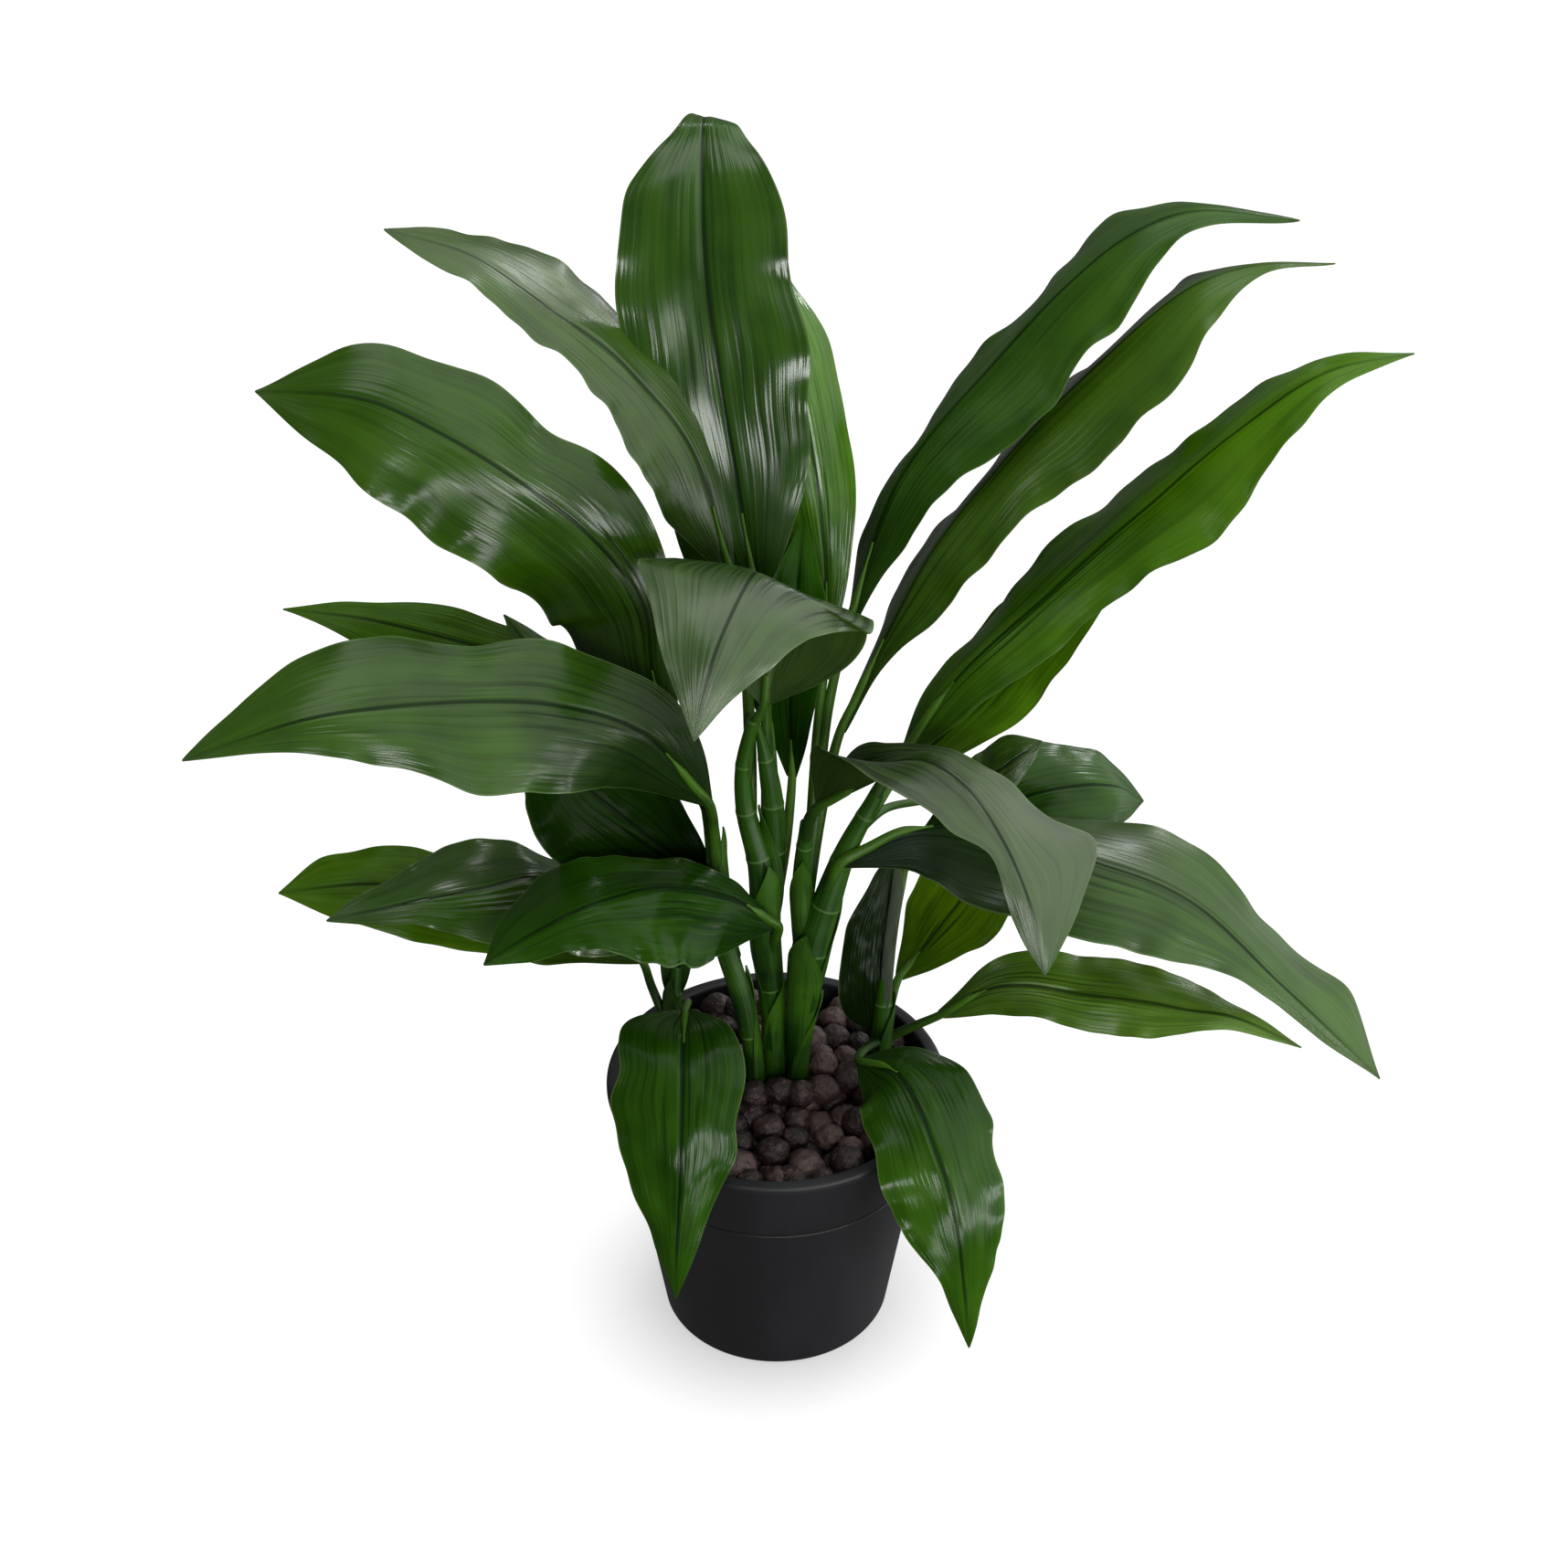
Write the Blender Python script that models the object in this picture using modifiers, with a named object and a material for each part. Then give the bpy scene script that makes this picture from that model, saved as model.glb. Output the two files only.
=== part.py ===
"""A potted dracaena: a nursery pot, its growing medium, a layer of clay pebbles and five leafy shoots.

Lengths are in metres. Control points, radii and widths of the foliage are written in millimetres
and scaled by MM. The origin is the centre of the pot's flat underside, +Z is up and the side that
carries the drooping front leaves faces -Y.
"""
import math
import random

import bmesh
import bpy
import numpy as np

MM = 0.001
GAP = 0.3 * MM
WELD_DISTANCE = 0.00002
TURN_WELD_DISTANCE = 0.00005
SHARP_ANGLE = math.radians(35)
FOLIAGE_SHARP_ANGLE = math.radians(50)

# Pot: a straight-sided nursery pot with a rim band
POT_HEIGHT = 0.144
POT_RIM_RADIUS = 0.085
POT_BASE_RADIUS = 0.058
POT_WALL = 0.0022
POT_FLOOR = 0.003
POT_BASE_ROUNDING = 0.004
LIP_WIDTH = 0.0035
LIP_HEIGHT = 0.004
BAND_HEIGHT = 0.042
BAND_STEP = 0.0012
LIP_CHAMFER = 0.0012
EDGE_CHAMFER = 0.0008
ARC_MIDDLE = 1 - math.cos(math.radians(45))
POT_SEGMENTS = 48

# Filling: growing medium below, clay pebbles above
MEDIUM_TOP = 0.118
PEBBLE_BED_TOP = 0.1345
PEBBLE_COUNT = 92
PEBBLE_RADIUS_SMALL = 0.0064
PEBBLE_RADIUS_LARGE = 0.0094
PEBBLE_REACH = 0.0745
PEBBLE_TURN_PLAY = 0.12
PEBBLE_LOWEST = -0.0015
PEBBLE_HIGHEST = 0.0025
PEBBLE_SEED = 7
HOLLOW_DEPTH = 0.004
SAME_PLACE = 0.0001
PEBBLE_RINGS = 10
PEBBLE_SEGMENTS = 44
GOLDEN_ANGLE = math.pi * (3 - math.sqrt(5))
BED_TILT = 0.05

# Foliage
ROOT_FOOT = 0.075
ROOT_TOP = 0.152
ROOT_SIDES = 12
ROOT_TURN = math.radians(11)
HOLE_TOP = 0.170
CANE_POINTS_PER_CONTROL = 1.5
BLADE_THICKNESS = 0.0008
BLADE_ROWS = 12
BLADE_HALF_COLUMNS = 2
BLADE_BASE_HALF_WIDTH = 2.5
BLADE_TIP_HALF_WIDTH = 0.6
BLADE_CURL = 0.1
WAVE_OFFBEAT = 0.35
STALK_POINTS = 6
STALK_RADIUS = 3.4
STALK_END_RADIUS = 1.7
RIB_ROWS = 2
RIB_END_RADIUS = 0.8
TUBE_SIDES_RESOLUTION = 1
CURVE_STEPS = 20

# Plain colours and roughness of the materials
POT_PLASTIC = ((0.012, 0.012, 0.014), 0.42)
MEDIUM_SOIL = ((0.03, 0.02, 0.014), 0.95)
FIRED_CLAY = ((0.06, 0.035, 0.028), 0.85)
LEAF_GREEN = ((0.045, 0.14, 0.02), 0.35)


def clear_scene():
    for item in list(bpy.data.objects):
        bpy.data.objects.remove(item, do_unlink=True)


def new_collection(name):
    collection = bpy.data.collections.new(name)
    bpy.context.scene.collection.children.link(collection)
    return collection


def principled(name, colour, roughness):
    """A Principled BSDF material."""
    material = bpy.data.materials.new(name)
    material.use_nodes = True
    shader = material.node_tree.nodes["Principled BSDF"]
    shader.inputs["Base Color"].default_value = (*colour, 1.0)
    shader.inputs["Roughness"].default_value = roughness
    return material


def add_object(name, mesh, collection):
    item = bpy.data.objects.new(name, mesh)
    collection.objects.link(item)
    return item


def applied(item):
    """Applies an object's modifiers to its mesh."""
    depsgraph = bpy.context.evaluated_depsgraph_get()
    mesh = bpy.data.meshes.new_from_object(item.evaluated_get(depsgraph))
    item.modifiers.clear()
    item.data = mesh
    return item


def turned(name, profile, segments, collection):
    """A solid turned about Z from (radius, height) points, outer side running down."""
    mesh = bpy.data.meshes.new(name)
    edges = [(i, i + 1) for i in range(len(profile) - 1)]
    mesh.from_pydata([(radius, 0.0, height) for radius, height in profile], edges, [])
    item = add_object(name, mesh, collection)
    screw = item.modifiers.new("turn", "SCREW")
    screw.steps = segments
    screw.render_steps = segments
    screw.use_merge_vertices = True
    screw.merge_threshold = TURN_WELD_DISTANCE
    screw.use_smooth_shade = False
    return applied(item)


def join_by_boolean(item, others, operation):
    """Joins or cuts an object with every object of a collection, then removes them."""
    boolean = item.modifiers.new(operation.lower(), "BOOLEAN")
    boolean.operation = operation
    boolean.operand_type = "COLLECTION"
    boolean.collection = others
    boolean.solver = "EXACT"
    applied(item)
    for other in list(others.objects):
        bpy.data.objects.remove(other, do_unlink=True)
    return item


def split_into_triangles(mesh):
    shape = bmesh.new()
    shape.from_mesh(mesh)
    bmesh.ops.triangulate(shape, faces=shape.faces)
    shape.to_mesh(mesh)
    shape.free()


def smooth_round(item, angle):
    item.data.shade_smooth()
    item.data.set_sharp_from_angle(angle=angle)


# Smooth curves and blades

def unit(vectors):
    length = np.linalg.norm(vectors, axis=-1, keepdims=True)
    return vectors / np.maximum(length, 1e-9)


def smooth_curve(points, count):
    """Evenly spaced points on one smooth curve through the control points."""
    knots = np.array(points, float)
    first = 2 * knots[0] - knots[1]
    last = 2 * knots[-1] - knots[-2]
    padded = np.vstack([first, knots, last])
    dense = []
    for i in range(1, len(padded) - 2):
        before, start, end, after = padded[i - 1:i + 3]
        gap_0 = math.sqrt(np.linalg.norm(start - before))
        gap_1 = math.sqrt(np.linalg.norm(end - start))
        gap_2 = math.sqrt(np.linalg.norm(after - end))
        pull_0 = ((start - before) / gap_0 - (end - before) / (gap_0 + gap_1)) * gap_1 + (end - start)
        pull_1 = ((after - end) / gap_2 - (after - start) / (gap_1 + gap_2)) * gap_1 + (end - start)
        for t in np.linspace(0, 1, CURVE_STEPS, endpoint=False):
            from_start = (2 * t**3 - 3 * t**2 + 1) * start + (t**3 - 2 * t**2 + t) * pull_0
            to_end = (3 * t**2 - 2 * t**3) * end + (t**3 - t**2) * pull_1
            dense.append(from_start + to_end)
    dense.append(knots[-1])
    dense = np.array(dense)
    steps = np.linalg.norm(np.diff(dense, axis=0), axis=1)
    travelled = np.concatenate([[0], np.cumsum(steps)])
    wanted = np.linspace(0, travelled[-1], count)
    return np.stack([np.interp(wanted, travelled, dense[:, k]) for k in range(3)], axis=1)


def even_spline(values, places):
    """A smooth line through evenly spaced values, read at places from 0 to 1."""
    values = np.array(values, float)
    if values.ndim == 1:
        values = values[:, None]
    padded = np.vstack([2 * values[0] - values[1], values, 2 * values[-1] - values[-2]])
    along = np.clip(places, 0, 1) * (len(values) - 1)
    index = np.minimum(along.astype(int), len(values) - 2)
    t = (along - index)[:, None]
    a, b, c, d = (padded[index + k] for k in range(4))
    cubic = (3 * b - a - 3 * c + d) * t**3
    square = (2 * a - 5 * b + 4 * c - d) * t**2
    return 0.5 * (2 * b + (c - a) * t + square + cubic)


def blade_grid(leaf, rows, half_columns):
    """Middle surface of a blade, as rows along the midrib of points from edge to edge."""
    middle = smooth_curve(leaf["blade"], rows + 1)
    places = np.linspace(0, 1, rows + 1)
    tangent = unit(np.gradient(middle, axis=0))
    face = even_spline(unit(np.array(leaf["face"], float)), places)
    normal = unit(face - (face * tangent).sum(axis=1, keepdims=True) * tangent)
    side = unit(np.cross(tangent, normal))
    base, tip = BLADE_BASE_HALF_WIDTH, BLADE_TIP_HALF_WIDTH
    left = np.maximum(even_spline([base, *leaf["left"], tip], places)[:, 0], tip)
    right = np.maximum(even_spline([base, *leaf["right"], tip], places)[:, 0], tip)
    fold = np.radians(even_spline(leaf["fold"], places)[:, 0])
    height, count, phase = leaf["wave"]
    calm_ends = np.sin(np.pi * places) ** 0.5
    columns = []
    for across in np.linspace(-1, 1, 2 * half_columns + 1):
        half_width = left if across < 0 else right
        beat = phase + (WAVE_OFFBEAT if across < 0 else 0.0)
        wave = height * calm_ends * np.sin(2 * np.pi * (count * places + beat)) * across**2
        lift = half_width * (abs(across) * np.sin(fold) - BLADE_CURL * across**2) + wave
        reach = half_width * across * np.cos(fold)
        columns.append(middle + side * reach[:, None] + normal * lift[:, None])
    return np.stack(columns, axis=1)


def grid_normals(grid):
    along = np.gradient(grid, axis=0)
    across = np.gradient(grid, axis=1)
    return unit(np.cross(across, along))


def blade_mesh(name, leaf):
    """A thin closed blade, its two faces split into triangles alike."""
    grid = blade_grid(leaf, BLADE_ROWS, BLADE_HALF_COLUMNS) * MM
    offset = grid_normals(grid) * BLADE_THICKNESS / 2
    rows, columns = grid.shape[:2]
    points = np.concatenate([(grid + offset).reshape(-1, 3), (grid - offset).reshape(-1, 3)])
    under = rows * columns

    def at(row, column):
        return row * columns + column

    faces = []
    for row in range(rows - 1):
        for column in range(columns - 1):
            a, b = at(row, column), at(row, column + 1)
            c, d = at(row + 1, column + 1), at(row + 1, column)
            faces += [(a, b, c), (a, c, d)]
            faces += [(under + a, under + c, under + b), (under + a, under + d, under + c)]
    border = [at(0, column) for column in range(columns)]
    border += [at(row, columns - 1) for row in range(1, rows)]
    border += [at(rows - 1, column) for column in range(columns - 2, -1, -1)]
    border += [at(row, 0) for row in range(rows - 2, 0, -1)]
    for a, b in zip(border, border[1:] + border[:1]):
        faces += [(a, under + a, under + b), (a, under + b, b)]
    mesh = bpy.data.meshes.new(name)
    mesh.from_pydata([tuple(point) for point in points], [], faces)
    return mesh


def tube_mesh(name, points, radii, collection):
    """A tapering round stalk: a bevelled curve made a mesh with its caps welded."""
    curve = bpy.data.curves.new(name, "CURVE")
    curve.dimensions = "3D"
    curve.bevel_depth = MM
    curve.bevel_resolution = TUBE_SIDES_RESOLUTION
    curve.use_fill_caps = True
    spline = curve.splines.new("POLY")
    spline.points.add(len(points) - 1)
    for place, point, radius in zip(spline.points, points, radii):
        place.co = (*(float(value) * MM for value in point), 1.0)
        place.radius = float(radius)
    item = add_object(name, curve, collection)
    depsgraph = bpy.context.evaluated_depsgraph_get()
    mesh = bpy.data.meshes.new_from_object(item.evaluated_get(depsgraph))
    place_in_world = item.matrix_world.copy()
    bpy.data.objects.remove(item, do_unlink=True)
    bpy.data.curves.remove(curve)
    shape = bmesh.new()
    shape.from_mesh(mesh)
    bmesh.ops.remove_doubles(shape, verts=shape.verts, dist=WELD_DISTANCE)
    shape.to_mesh(mesh)
    shape.free()
    made = add_object(name, mesh, collection)
    made.matrix_world = place_in_world
    return made


def stalk_and_rib(leaf, name, collection):
    """A leaf's stalk, which runs on into the blade as its rib."""
    rib_end = smooth_curve(leaf["blade"], BLADE_ROWS + 1)[RIB_ROWS]
    stalk = smooth_curve([*leaf["stalk"], leaf["blade"][0]], STALK_POINTS)
    radii = [*np.linspace(leaf["thick"], STALK_END_RADIUS, STALK_POINTS), RIB_END_RADIUS]
    return tube_mesh(name, [*stalk, rib_end], radii, collection)


def cane(points, radii, name, collection):
    count = round(CANE_POINTS_PER_CONTROL * len(points))
    path = smooth_curve(points, count)
    thick = even_spline(radii, np.linspace(0, 1, count))[:, 0]
    return tube_mesh(name, path, thick, collection)


# The shoots: where each roots, its canes and its leaves

def leaf(stalk, blade, left, right, face, fold=(-6, -6), wave=(2.0, 2.0, 0.0), thick=STALK_RADIUS):
    """One leaf, in millimetres.

    stalk: control points from inside its cane up to the blade
    blade: control points of the midrib, base to tip
    left, right: half widths at even stations, as seen on the upper side with the tip up
    face: the way the upper side faces, from base to tip
    fold: angles of each half above the flat, in degrees from base to tip, below zero where
        the halves droop
    wave: height, number and start of the waves along the edges
    """
    return {"stalk": stalk, "blade": blade, "left": left, "right": right, "face": face,
            "fold": fold, "wave": wave, "thick": thick}


LEFT_SHOOT = {
    "root": (-10.4, -2.4, 4.0),
    "canes": [
        ([(-10, -2, 146), (-17, 1, 195), (-24, 4, 225), (-28, 6, 262), (-31, 8, 296)],
         (4.0, 4.6, 4.6, 4.4, 3.6)),
    ],
    "leaves": [
        # glossy leaf at upper left
        leaf([(-30, 7, 285), (-36, 8, 319)],
             [(-47, 13, 332), (-56, 12, 370), (-60, 11, 410), (-82, 6, 449), (-112, -5, 483),
              (-142, -12, 509), (-174, -10, 524), (-222, 0, 523)],
             (24, 40, 41, 41, 42, 40, 36, 24), (10, 13, 21, 30, 26, 31, 29, 22),
             [(0, -1, 0.3), (-0.1, -1, 0.7), (0, -0.8, 1)], wave=(2.5, 3.6, 0.1)),
        # broad low leaf at left
        leaf([(-28, 5, 262), (-29, 0, 290)],
             [(-31, -8, 315), (-61, -25, 366), (-100, -45, 393), (-146, -60, 403),
              (-195, -75, 406), (-254, -85, 390)],
             (22, 32, 36, 40, 38, 26, 17, 8), (16, 22, 26, 30, 28, 35, 32, 20),
             [(0, -1, 0.6), (0, -0.8, 0.8), (0, -0.6, 1)], wave=(2.5, 3.0, 0.2)),
        # leaf behind the broad one
        leaf([(-25, 6, 240), (-28, 10, 275)],
             [(-34, 14, 301), (-64, 24, 341), (-106, 32, 364), (-148, 37, 376), (-190, 37, 388),
              (-228, 36, 394)],
             (8, 16, 21, 24, 24, 21, 17, 9), (6, 9, 12, 13, 15, 17, 15, 10),
             [(0, -1, 0.6), (0, -0.6, 0.8), (0, -0.3, 1)]),
        # small pointed leaf between them
        leaf([(-29, 7, 275), (-31, 8, 295)],
             [(-38, 8, 313), (-71, 10, 350), (-104, 12, 376), (-123, 12, 405)],
             (9, 15, 17, 15, 9), (9, 15, 17, 15, 9),
             [(0, -1, 0.4), (0, -0.8, 0.8), (0, -0.6, 1)]),
        # shaded leaf under the broad one
        leaf([(-24, 5, 225), (-27, 9, 243)],
             [(-30, 12, 255), (-56, 14, 277), (-82, 11, 304), (-104, 8, 330), (-124, 0, 352)],
             (22, 34, 36, 30, 18), (16, 26, 28, 26, 16),
             [(0, -1, 0.4), (0, -0.8, 0.8), (0, -0.6, 1)]),
        # low leaf at mid left
        leaf([(-17, 2, 195), (-21, 7, 215)],
             [(-26, 10, 228), (-66, 10, 246), (-109, 5, 264), (-139, 0, 261), (-178, -10, 258),
              (-214, -15, 252)],
             (18, 28, 33, 36, 34, 23, 13, 7), (8, 12, 12, 14, 31, 37, 27, 16),
             [(0, -0.6, 0.6), (0, -0.4, 1), (0, -0.4, 1)], fold=(-12, -12), wave=(2.0, 3.0, 0.4)),
        # low leaf at the back, drooping behind the rim
        leaf([(-12, 0, 162), (-17, 20, 188)],
             [(-28, 42, 199), (-45, 75, 206), (-70, 108, 190), (-92, 132, 158), (-104, 146, 118)],
             (14, 24, 27, 24, 15), (14, 24, 27, 24, 15),
             [(0, 0.3, 1), (-0.3, 0.3, 1), (-0.5, 0.6, 0.6)], thick=2.8),
    ],
}

CENTRE_SHOOT = {
    "root": (-0.3, 3, 4.8),
    "canes": [
        ([(-0.3, 3, 146), (-2, 5, 190), (-5, 5, 230), (-7, 6, 268), (-14, 8, 300), (-15, 8, 325),
          (-10, 7, 352)],
         (4.8, 5.4, 6.4, 6.8, 5.4, 4.0, 3.0)),
        ([(-5, 6, 225), (-1, 9, 262), (-1, 10, 300), (-4, 10, 325), (-9, 9, 352)],
         (4.0, 5.6, 5.4, 4.4, 0.8)),
    ],
    "leaves": [
        # hanging leaf at the crown
        leaf([(-14, 8, 318), (-11, 7, 345)],
             [(-5, 6, 361), (-2, 9, 399), (-3, 5, 424), (-8, -7, 438), (-14, -24, 438),
              (-24, -46, 425), (-30, -58, 409), (-35, -67, 388)],
             (28, 43, 50, 57, 43, 31, 23, 12), (20, 30, 36, 37, 49, 39, 26, 12),
             [(0.2, 0.9, 0.3), (0.2, 0.9, 0.6), (0.13, -0.1, 1), (0.3, -0.5, 0.9), (0.2, -0.8, 0.8)],
             fold=(-4, -4, -4, -6, -4), wave=(1.0, 2.0, 0.3), thick=3.2),
        # tall upright leaf
        leaf([(-4, 7, 262), (-4, 16, 330), (-5, 20, 372)],
             [(-8, 25, 405), (-18, 38, 463), (-26, 55, 509), (-31, 75, 551), (-32, 98, 583),
              (-32, 122, 596), (-31, 146, 588), (-30, 166, 566)],
             (24, 37, 42, 42, 39, 35, 16, 5), (22, 34, 40, 41, 37, 34, 24, 10),
             [(-0.1, -1, 0.3), (0, -1, 0.5), (0, -0.6, 1)], fold=(6, 6), wave=(2.5, 3.0, 0.2)),
        # leaf that arches to the back
        leaf([(-2, 9, 262), (-1, 18, 300)],
             [(-3, 26, 335), (-12, 55, 385), (-20, 92, 430), (-26, 140, 466), (-28, 190, 470),
              (-30, 238, 434)],
             (16, 30, 36, 36, 24), (16, 30, 36, 36, 24),
             [(-0.1, -1, 0.5), (0, -0.6, 1), (0, 0.3, 1)], fold=(-5, -5)),
        # long leaf at upper left
        leaf([(-12, 8, 290), (-12, 16, 340), (-15, 20, 390)],
             [(-20, 27, 417), (-37, 33, 478), (-67, 38, 518), (-98, 42, 542), (-129, 42, 566),
              (-167, 40, 580)],
             (17, 26, 28, 24, 23, 18, 17, 14), (10, 14, 21, 23, 36, 42, 31, 15),
             [(0.25, -0.9, 0.4), (0.6, -0.3, 0.8), (0.28, -0.2, 1)], fold=(-4, -4), wave=(2.0, 3.4, 0.0)),
        # young leaf, still narrow
        leaf([(-2, 8, 235), (5, 18, 275)],
             [(8, 25, 308), (7, 28, 352), (10, 33, 399), (13, 42, 440)],
             (10, 15, 17, 15, 10), (9, 13, 15, 14, 9),
             [(-0.3, -1, 0), (0.2, -1, 0), (0.4, -1, 0)], fold=(14, 14)),
        # low leaf at front left
        leaf([(-4, 4, 215), (0, -2, 232)],
             [(1, -7, 243), (-21, -18, 268), (-55, -31, 283), (-84, -45, 284), (-111, -55, 275),
              (-134, -65, 264)],
             (25, 31, 35, 37, 34, 21, 16, 10), (5, 12, 20, 26, 32, 38, 34, 20),
             [(0, -0.6, 0.6), (0, -0.4, 1), (0, -0.4, 1)], fold=(-16, -16), wave=(2.0, 3.0, 0.5)),
    ],
}

RIGHT_SHOOT = {
    "root": (10.6, 1, 5.0),
    "canes": [
        ([(10.6, 1, 146), (12.5, 0, 185), (18, 2, 225), (25, 4, 250), (34, 7, 278), (48, 11, 307)],
         (5.0, 6.2, 8.6, 7.2, 5.2, 3.6)),
        ([(15, 2, 205), (12.5, 5, 260), (15, 2, 297)],
         (4.4, 4.6, 3.4)),
    ],
    "leaves": [
        # pale leaf at the back
        leaf([(14, 4, 225), (17, 15, 281), (20, 32, 330)],
             [(24, 45, 367), (23, 58, 414), (15, 75, 469), (3, 95, 510), (-6, 125, 528),
              (-12, 150, 524)],
             (10, 20, 26, 26, 16), (11, 18, 20, 20, 14),
             [(-0.2, -1, 0.3), (0.3, -1, 0.3), (0.4, -0.8, 0.6)]),
        # folded leaf at the right
        leaf([(14, 3, 285), (16, 0, 300)],
             [(20, -4, 310), (32, -10, 322), (44, -17, 334), (57, -27, 350), (70, -38, 358),
              (86, -52, 353), (100, -64, 337), (112, -76, 314), (122, -86, 274)],
             (26, 21, 12, 16, 26, 41, 57, 31), (28, 34, 28, 24, 22, 10, 10, 7),
             [(-0.4, 0.75, 0.5), (-0.3, 0.3, 0.9), (0.3, -0.3, 0.9), (0.35, -0.7, 0.4)],
             fold=(60, 50, 4, -8, -8, -8)),
        # long drooping leaf at the right
        leaf([(21, 3, 245), (27, 1, 265)],
             [(31, 0, 275), (66, 8, 290), (110, 12, 282), (155, 12, 267), (200, 8, 247),
              (247, 0, 203), (301, -10, 150)],
             (12, 28, 38, 42, 34, 25, 25, 27), (22, 30, 37, 37, 32, 19, 9, 6),
             [(0, -0.2, 1), (0, -0.4, 1), (0.3, -0.6, 0.8)], fold=(-55, -42, -10, -8, -8),
             wave=(2.5, 3.2, 0.0)),
        # three long leaves at the upper right, and one below them
        leaf([(14, 5, 245), (19, 18, 290), (25, 35, 340)],
             [(33, 46, 375), (57, 60, 449), (100, 72, 503), (148, 84, 551), (184, 92, 566),
              (235, 95, 561)],
             (13, 12, 15, 26, 26, 34, 40, 18), (9, 20, 26, 34, 34, 29, 16, 7),
             [(-0.6, -0.5, 0.6), (-0.5, -0.25, 0.75), (-0.3, -0.2, 1)], fold=(-18, -18),
             wave=(2.2, 3.5, 0.3)),
        leaf([(14, 5, 240), (20, 17, 280), (26, 25, 312)],
             [(31, 30, 331), (68, 45, 411), (105, 55, 463), (144, 62, 505), (183, 68, 540),
              (212, 72, 549), (249, 75, 549)],
             (11, 19, 22, 27, 38, 38, 34, 20), (6, 17, 26, 28, 36, 38, 25, 7),
             [(-0.6, -0.5, 0.6), (-0.58, -0.14, 0.8), (-0.3, -0.1, 1)], fold=(-22, -22),
             wave=(2.2, 3.5, 0.0)),
        leaf([(40, 9, 292), (50, 12, 312)],
             [(59, 14, 326), (85, 20, 367), (126, 28, 407), (166, 35, 446), (205, 40, 482),
              (244, 45, 510), (283, 48, 518)],
             (14, 16, 26, 31, 28, 20, 26, 13), (14, 22, 22, 26, 33, 31, 20, 8),
             [(-0.6, -0.5, 0.6), (-0.5, -0.3, 0.8), (-0.3, -0.2, 1)], fold=(-10, -10),
             wave=(2.2, 3.5, 0.6)),
        leaf([(36, 8, 282), (47, 20, 292)],
             [(56, 28, 303), (86, 40, 329), (115, 50, 364), (142, 58, 399), (162, 68, 428)],
             (14, 22, 26, 24, 16), (12, 20, 24, 22, 16),
             [(0.2, -1, 0.4), (-0.4, -0.6, 1), (0, -0.4, 1)]),
        # small leaf whose end shows between its neighbours
        leaf([(38, 11, 284), (54, 36, 282), (70, 46, 279)],
             [(80, 51, 277), (98, 58, 280), (116, 63, 291), (131, 68, 300)],
             (10, 13, 14, 14, 11), (9, 11, 11, 10, 6),
             [(0, -0.8, 1), (0, -0.8, 1), (0.2, -0.8, 0.8)], wave=(1.0, 2.0, 0.3), thick=2.4),
    ],
}

YOUNG_LEFT_SHOOT = {
    "root": (-53, 29, 5.0),
    "canes": [
        ([(-53, 29, 150), (-52, 33, 167), (-50, 37, 185)], (4.7, 4.4, 3.0)),
    ],
    "leaves": [
        # low leaf at the far left
        leaf([(-55, 31, 150), (-63, 35, 173)],
             [(-68, 35, 190), (-105, 38, 211), (-149, 35, 227), (-193, 30, 241), (-244, 25, 239)],
             (13, 21, 24, 26, 26, 25, 21, 13), (10, 16, 22, 25, 24, 24, 24, 20),
             [(0, -0.6, 0.6), (0, -0.5, 1), (0, -0.5, 1)], fold=(-8, -8), thick=2.6),
        # leaf that droops over the front left of the rim
        leaf([(-51, 28, 150), (-44, 10, 182)],
             [(-44, -18, 200), (-44, -48, 197), (-44, -75, 176), (-45, -92, 150),
              (-47, -102, 120), (-48, -107, 94)],
             (21, 28, 29, 28, 26, 26, 21, 17, 13, 9, 5), (26, 32, 31, 34, 32, 31, 26, 21, 15, 11, 5),
             [(0, -0.5, 1), (0, -1, 0.6), (0, -1, 0.3)], fold=(20, 0, -8, -8), thick=2.4),
        # rolled young leaf
        leaf([(-52, 31, 150), (-52, 33, 158)],
             [(-52, 34, 165), (-51, 37, 182), (-48, 42, 208), (-45, 50, 236)],
             (7, 9, 9, 8, 6), (7, 9, 9, 8, 6),
             [(0, -1, 0.2), (0, -1, 0.2), (0, -1, 0.2)], fold=(25, 25), wave=(0.5, 1.0, 0.0), thick=3.0),
    ],
}

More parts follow.
